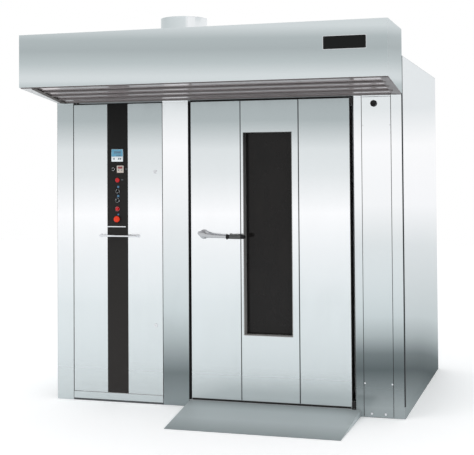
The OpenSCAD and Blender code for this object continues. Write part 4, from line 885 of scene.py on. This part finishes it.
plate_low = np.array([0.7605, hood_low[1] - 0.0022, 2.137])
plate_high = np.array([1.0065, hood_low[1], 2.2145])
border = np.array([0.0025, 0, 0.0025])
make("name_plate_rim", [holed(plate_low, plate_high, plate_low + border, plate_high - border, 0.004, 0.0005)],
     "chrome")
make("name_plate_field", [block(plate_low + [0.0023, 0.0006, 0.0023], plate_high - [0.0023, 0.0002, 0.0023],
                                0.003, 0.0003)], "black_strip")
print("instruments, legends and plate dressed")

# %% [markdown]
# ## Folded sheets
# A sheet is bent on a press brake, so its edges are small arcs that catch a line of light. Each upright is
# one line in plan, drawn up from the floor: front face, arc, and the return that runs back into the oven.
# A flat plate with sharp edges would lose that line of light, and a bevelled box would have no returns.

# %% Stiles, pillar and service panel
panel_low, panel_high = places("service_panel")
bay_low, bay_high = places("bay_door")
pillar_low, pillar_high = places("centre_pillar")
lintel_z = places("lintel")[0][2]
leaf_low, leaf_high = places("door_skin_left")[0], places("door_skin_right")[1]
x_bay, x_pillar = bay_low[0] - 0.005, bay_high[0] + 0.003
x_service, x_corner = panel_low[0] - 0.001, panel_high[0] + 0.001
x_jamb = leaf_high[0] + 0.025
frame_y = pillar_high[1]

make("stile_left", [folded([(left + wall, front), (x_bay, front), (x_bay, front + 0.032)], 0.0, lintel_z)],
     door_steel, stands_for="front_stiles")
rise, behind = (0.0, lintel_z), (wall, 2 * wall)
make("stiles_right", [folded([(x_jamb, frame_y), (x_jamb, front), (x_service, front)], *rise),
                      strip((x_service - wall, x_service + 0.014), behind, rise, 0.0005, 0.0005),
                      strip((x_corner, right - wall), (0.0, wall), rise, 0.0008, 0.0008),
                      strip((x_corner - 0.014, x_corner + wall), behind, rise, 0.0005, 0.0005)],
     banded_steel, stands_for="front_stiles")

tongue_y = places("lock_upper")[1][1] - 0.003
post = folded([(x_pillar, frame_y), (x_pillar, front), (pillar_high[0], front), (pillar_high[0], frame_y)],
              0.0, lintel_z)
lip = block((pillar_low[0], tongue_y - 0.0025, bay_low[2]), (x_pillar - 0.0001, tongue_y - 0.0005, lintel_z),
            0.0005, 0.0005)
make("pillar_post", [post, lip], pillar_steel, stands_for="centre_pillar")
make("service_cover", [block(panel_low, (panel_high[0], front + wall, panel_high[2]), 0.0012, 0.0009)],
     banded_steel, stands_for="service_panel")
cap_top = hood_low[2] - 0.0004


def cap(x0, x1):
    """The head of an upright that laps over the lintel up to the hood."""
    return strip((x0, x1), (-0.0006, 0.0004), (lintel_z - 0.001, cap_top), 0.0004, 0.0003)


make("stile_head", [cap(left + wall, x_bay)], door_steel)
make("pillar_head", [cap(x_pillar, pillar_high[0])], pillar_steel)
make("right_heads", [cap(x_jamb, x_service - 0.0004), cap(panel_low[0], panel_high[0]),
                     cap(x_corner + 0.0004, right - 0.005)], banded_steel)
print("pillar from", round(x_pillar, 4), "to", round(float(pillar_high[0]), 4))

# %% Door skins
window_low, window_high = places("window_frame")
skin_high = places("door_skin_left")[1]
middle_low, middle_high = places("door_skin_middle")
right_low, right_high = places("door_skin_right")
LEAF_STEP = 0.006
latch_side = [(leaf_low[0] + LEAF_STEP, front + 0.012), (leaf_low[0], front + 0.012), (leaf_low[0], front),
              (skin_high[0], front)]
hinge_side = [(right_low[0], front), (right_high[0], front), (right_high[0], right_high[1])]
window_skin = holed(middle_low, (middle_high[0], front + wall, middle_high[2]), window_low, window_high,
                    0.0008, 0.0008)
make("skin_latch_side", [folded(latch_side, leaf_low[2], leaf_high[2])], door_steel, "main_door",
     "door_skin_left")
make("skin_window", [window_skin], door_steel, "main_door", "door_skin_middle")
make("skin_hinge_side", [folded(hinge_side, right_low[2], right_high[2])], door_steel, "main_door",
     "door_skin_right")

# %% [markdown]
# ## Seams, joint shadows and gaskets
# The joints between flush sheets get a flat dark strip, a painted shadow of the gap, and the free edges of
# the doors carry a thin dark gasket. Without them the joints vanish, since polished walls on both sides
# mirror the room.

# %% Joint shadows and gaskets
# painted shadow: the dark colour of the joint strips stands for the shade in the gaps between sheets
joint_shadow_finish = finish("painted_joint_shadow", (38, 39, 41), rough=0.6, stretch=(900, 900, 60), tone=0.15, bump=0.2,
                     specular=0.2)


def shadow_strip(x, half, z0, z1, proud=0.0003):
    """A flat dark strip over an upright joint, with rounded ends: the joint's painted shadow."""
    return strip((x - half, x + half), (-proud, 0.0005), (z0, z1), half * 0.9, proud * 0.8)


x_left_seam = (skin_high[0] + middle_low[0]) / 2
x_right_seam = (middle_high[0] + right_low[0]) / 2
make("door_joint_shadows", [shadow_strip(x, half, leaf_low[2] + 0.009, leaf_high[2] - 0.001)
                    for x, half in ((x_left_seam, 0.0029), (x_right_seam, 0.0033))], joint_shadow_finish, "main_door")
panel_seams = ((x_service + panel_low[0]) / 2, (x_corner + panel_high[0]) / 2)
make("panel_joint_shadows", [shadow_strip(x, 0.0017, 0.006, cap_top, 0.0007) for x in panel_seams]
     + [shadow_strip(right - 0.0026, 0.0024, 0.07, cap_top)], joint_shadow_finish)
# painted shade: a dark liner on the stile's return makes the gap beside the bay door read dark
make("bay_gap_painted_shade", [strip((x_bay + 0.0001, x_bay + 0.0006), (0.0008, 0.030), (0.02, lintel_z),
                             0.0002, 0.0002)], "seal_rubber")
make("bay_edge_gasket", [strip((bay_high[0] - 0.0001, bay_high[0] + 0.0012), (0.0008, 0.030),
                               (bay_low[2], bay_high[2] - 0.004), 0.0005, 0.0005)], "seal_rubber", BAY_DOOR)
make("leaf_edge_gasket", [block((leaf_high[0] - 0.0001, front + 0.002, leaf_low[2] + 0.043),
                                (leaf_high[0] + 0.0008, leaf_high[1] - 0.004, leaf_high[2] - 0.043),
                                0.0004, 0.0003)], gap_rubber, "main_door")
hinge = next(j for j in frame["record"]["behaviour"]["joints"] if j["name"] == "main_door_hinge")["pos_m"]
sleeves = []
for z in (leaf_low[2] + 0.0005, leaf_high[2] - 0.0403):
    sleeves.append(turned([(0.0101, z), (0.0108, z + 0.0006), (0.0108, z + 0.0392), (0.0101, z + 0.0398)],
                          (hinge[0], hinge[1], 0.0), "z", hollow=True))
    sleeves.append(strip((leaf_high[0] + 0.0002, hinge[0] - 0.004), (0.0005, 0.0017), (z, z + 0.0398),
                         0.0005, 0.0004))
make("hinge_sleeves", sleeves, gap_rubber, "main_door")
foot, width = leaf_low[2], (leaf_low[0] + 0.003, leaf_high[0] - 0.003)
make("leaf_sweep", [strip(width, (-0.0016, 0.0010), (foot - 0.0030, foot + 0.0085), 0.001, 0.0008),
                    strip(width, (0.0008, 0.018), (foot - 0.0034, foot + 0.0002), 0.001, 0.0008)],
     gap_rubber, "main_door")
print("seams at", round(float(x_left_seam), 4), round(float(x_right_seam), 4))

# %% [markdown]
# ## Hood and collar
# The hood is open below, so its lower edges are rolled for stiffness and for the hand that wipes them. Its
# exhaust collar is a strip rolled into a tube whose ends overlap, with a turned-out flange below.

# %% Rolled edges
lip_z, front_y, rear_y = hood_low[2], hood_low[1], hood_high[1]
front_lip_z = lip_z + 0.062
LIP_R = 0.004
lips = [swept([(left + LIP_R, front_y + 0.0042, front_lip_z + LIP_R),
               (right - LIP_R, front_y + 0.0042, front_lip_z + LIP_R)], LIP_R)]
lips += [swept([(x, front_y + LIP_R, front_lip_z + LIP_R), (x, rear_y - LIP_R, lip_z + LIP_R)], LIP_R)
         for x in (left + 0.0042, right - 0.0042)]
make("hood_rolled_edges", lips, hood_steel)

collar_low, collar_high = places("exhaust_collar")
centre = (*middle("exhaust_collar")[:2], 0.0)
r, foot, top, flange_r = 0.140, collar_low[2], collar_high[2], collar_high[0] - centre[0]
tube = turned([(r, foot + 0.004), (r, top - 0.004), (r + 0.0006, top - 0.0022), (r, top), (r - 0.002, top),
               (r - 0.002, foot + 0.004), (r - 0.002, foot), (flange_r - 0.0006, foot),
               (flange_r, foot + 0.0010), (flange_r - 0.0006, foot + 0.0020), (r + 0.003, foot + 0.0022)],
              centre, "z", 120, hollow=True)
t = np.linspace(math.radians(-62), math.radians(-42), 14)
inside, outside = r - 0.0002, r + 0.0009
lap = np.stack([np.stack([centre[0] + lap_r * np.cos(t), centre[1] + lap_r * np.sin(t), np.full(14, z)], -1)
                for lap_r, z in ((inside, foot + 0.005), (inside, top - 0.005), (outside, top - 0.005),
                                 (outside, foot + 0.005))], 1)
make("collar_tube", [tube, closed(lap)], collar_steel, stands_for="exhaust_collar")
print("hood lips", len(lips), "collar radius", r)

# %% [markdown]
# Under the hood lie slats on a frame, tilted down towards the oven, and steam rises between them. The
# frame's bars and the turned-in flanges are what the eye sees from below, so each is its own rounded bar
# that follows the slope.

# %% Under the hood
slope = (places("hood_baffles")[0][2] - front_lip_z) / (rear_y - front_y)


def under(y):
    """Height of the hood's lower edge at a depth."""
    return front_lip_z + slope * (y - front_y)


def sloping_bar(x0, x1, y0, y1, thick, top=0.0):
    """A bar from x0 to x1 whose section follows the slope between y0 and y1, as a stack of loops in x."""
    line = loop(y1 - y0, thick, min(thick, y1 - y0) * 0.3)
    rows = []
    for x, shrink in ((x0, 0.9), (x0 + 0.001, 1.0), (x1 - 0.001, 1.0), (x1, 0.9)):
        y = (y0 + y1) / 2 + line[:, 0] * shrink
        z = under(y) - top - thick / 2 + line[:, 1] * shrink
        rows.append(np.stack([np.full(len(line), x), y, z], -1))
    return closed(rows)


def sloping_band(front_x, rear_x, y0, y1, thick):
    """A flat strip under the slope, from its two x at the front to its two x at the rear."""
    rows = []
    for share, shrink in ((0.0, 0.96), (0.004, 1.0), (0.996, 1.0), (1.0, 0.96)):
        x0, x1 = np.array(front_x) * (1 - share) + np.array(rear_x) * share
        y = y0 + (y1 - y0) * share
        line = loop(x1 - x0, thick, thick * 0.3) * shrink
        rows.append(np.stack([(x0 + x1) / 2 + line[:, 0], np.full(len(line), y),
                              under(y) - thick / 2 + line[:, 1]], -1))
    return closed(rows)


def hood_shade(name, colour, **own):
    """Matt finish under the hood; its colours are painted shade, and painted light on the left flange."""
    return finish(name, colour, stretch=(6, 400, 400), slot="steel", **own)


depth = rear_y - front_y
inner_left, inner_right = left + 0.080, right - 0.046
rails = [sloping_bar(inner_left - 0.01, inner_right + 0.01, front_y + depth * share - 0.008,
                     front_y + depth * share + 0.008, 0.009, 0.0005) for share in (0.26, 0.50, 0.74)]
rails.append(sloping_bar(left + 0.006, right - 0.006, front_y + 0.0085, front_y + 0.0135, 0.005))
rails.append(sloping_bar(left + 0.034, right - 0.034, rear_y - 0.020, rear_y - 0.004, 0.006))
dim = dict(rough=0.5, tone=0.05, bump=0.05, specular=0.1)
folded_in = dict(rough=0.45, tone=0.03, bump=0.03, specular=0.15)
# painted shade on the rails, the gutter and the right flange, and painted light on the left flange
make("hood_rails", rails, hood_shade("hood_rail_shade", (112, 108, 108), **dim))
for name, front_x, rear_x, ends, thick, look in (
        ("hood_side_gutter", (inner_left - 0.004, inner_left + 0.030), (left + 0.038, left + 0.074),
         (0.014, 0.021), 0.0098, hood_shade("hood_gutter_shade", (72, 68, 66), **dim)),
        ("hood_flange_left", (left + 0.003, inner_left - 0.003), (left + 0.003, left + 0.040),
         (0.0136, 0.003), 0.004, hood_shade("hood_flange_light", (204, 206, 207), **folded_in)),
        ("hood_flange_right", (inner_right, right - 0.003), (right - 0.060, right - 0.003),
         (0.0136, 0.003), 0.005, hood_shade("hood_flange_shade", (126, 123, 124), **folded_in))):
    make(name, [sloping_band(front_x, rear_x, front_y + ends[0], rear_y - ends[1], thick)], look)

# %% Gaskets over the doors
make("bay_hinge_plate", [strip((x, x + 0.018), (-0.0012, 0.0004), (lintel_z + 0.0002, lintel_z + 0.0105),
                               0.002, 0.0005) for x in (bay_low[0] - 0.002, bay_low[0] + 0.020)], black_steel)
make("lintel_gaskets", [strip((bay_low[0], x_pillar - 0.002), (0.0012, 0.012),
                              (leaf_high[2] + 0.0004, lintel_z - 0.0003), 0.001, 0.0008),
                        strip((leaf_low[0], x_jamb - 0.002), (-0.0008, 0.012),
                              (leaf_high[2] + 0.0006, lintel_z + 0.0045), 0.001, 0.0006)], "seal_rubber")

# %% [markdown]
# ## On the roof
# The fan's motor and the gearmotor are cast with cooling fins, so each is a profile with a row of thin
# discs. The flue is a spiral-seamed pipe with two clamped joints. None of this shows from the front, but
# the oven is looked at from above as well.

# %% Motors and flue
def finned(start, end, core, crest, valley, centre, axis):
    """A motor's finned body: radii that change between crest and valley over eleven places."""
    spots = np.repeat(np.linspace(start, end, 11), 2)[1:-1]
    fins = [(crest if k % 2 else valley, spot) for k, spot in enumerate(spots)]
    return turned([(core, start - 0.002)] + fins + [(core, end + 0.002)], centre, axis, steps=56)


x_fan, y_fan, _ = middle("fan_motor")
make("fan_motor_fins", [finned(roof + 0.050, roof + 0.150, 0.0766, 0.0866, 0.0811, (x_fan, y_fan, 0.0), "z")],
     "blue_paint")
bolt_out = 0.0850 * math.sqrt(0.5)
make("fan_motor_bolts", [turned([(0.002, roof + 0.0302), (0.0075, roof + 0.0302), (0.0075, roof + 0.035),
                                 (0.0065, roof + 0.036), (0.002, roof + 0.036)],
                                (x_fan + across * bolt_out, y_fan + along * bolt_out, 0.0), "z", 6)
                         for across, along in ((1, 1), (-1, 1), (-1, -1), (1, -1))], "chrome")

gear_x = places("rack_gearmotor")[0][0]
motor_z = 2.310
make("gearmotor_fins", [finned(gear_x + 0.045, gear_x + 0.150, 0.060, 0.0655, 0.0623,
                               (0.0, middle("drive_shaft")[1], motor_z), "x")], "blue_paint")

x_flue, y_flue, _ = middle("flue_pipe")
flue_top = places("flue_pipe")[1][2]
make("flue_bands", [turned([(0.0602, z - 0.007), (0.0625, z - 0.0065), (0.0630, z - 0.004), (0.0618, z),
                            (0.0630, z + 0.004), (0.0625, z + 0.0065), (0.0602, z + 0.007)],
                           (x_flue, y_flue, 0.0), "z", 56, hollow=True)
                    for z in (flue_top - 0.040, flue_top - 0.150)], "chrome")
print("gearmotor from", np.round(gear_x, 3), "flue up to", np.round(flue_top, 3))

# %% [markdown]
# ## The studio
# The oven stands on a pale floor in an evenly bright room, so a colour renders about as it is written.
# The room is white to the camera and in mirrors, and a broad lamp high on the left gives the floor its
# soft shadow. The camera stands to the right of the middle at eye height and looks a little to the left.

# %% Room, floor and lamp
scene = bpy.context.scene
world = bpy.data.worlds.new("studio")
scene.world = world
world.use_nodes = True
sky = world.node_tree
path = add(sky, "ShaderNodeLightPath").outputs
mirrored = math_node(sky, "MAXIMUM", path["Is Glossy Ray"], path["Is Transmission Ray"])
shown = math_node(sky, "MAXIMUM", path["Is Camera Ray"], mirrored)
fill(sky, sky.nodes["Background"], Color=(1.0, 1.0, 1.0, 1.0),
     Strength=ranged(sky, shown, To_Min=0.9, To_Max=1.0))

floor_finish = finish("pale_floor", (250, 251, 252), rough=0.8, stretch=3, tone=0.004, bump=0.0, specular=0.1)
fill(floor_finish.node_tree, floor_finish.node_tree.nodes["Principled BSDF"],
     Emission_Color=(1.0, 1.0, 1.0, 1.0), Emission_Strength=0.17)
reach = np.linspace(-14, 14, 3)
x, y = np.meshgrid(reach, reach, indexing="ij")
floor_points, floor_faces = grid(np.stack([x, y, np.full_like(x, -0.001)], -1))
floor_mesh = bpy.data.meshes.new("floor")
floor_mesh.from_pydata(floor_points, [], floor_faces)
floor_mesh.materials.append(floor_finish)
floor = put("floor", floor_mesh)

lamp = bpy.data.lights.new("broad_lamp", "AREA")
lamp.shape = "SQUARE"
lamp.size = 6.0
lamp.energy = 110.0
lamp_holder = put("broad_lamp", lamp)
lamp_holder.location = (-3.0, -6.0, 7.0)
lamp_holder.rotation_euler = (math.radians(42), 0, math.radians(-26))
lamp_holder.visible_glossy = False

# %% Camera
FRAME_WIDTH, FOCAL_PIXELS = 474, 1082.86
camera = bpy.data.cameras.new("eye")
camera.sensor_width = 36.0
camera.lens = FOCAL_PIXELS * camera.sensor_width / FRAME_WIDTH
camera.shift_x = 0.0093
camera.shift_y = -0.1807
eye = put("eye", camera)
eye.location = (2.0505, -6.965, 1.4618)
eye.rotation_mode = "XYZ"
eye.rotation_euler = (math.radians(91.5733), math.radians(0.377), math.radians(17.1435))
scene.camera = eye
scene.view_settings.view_transform = "Standard"
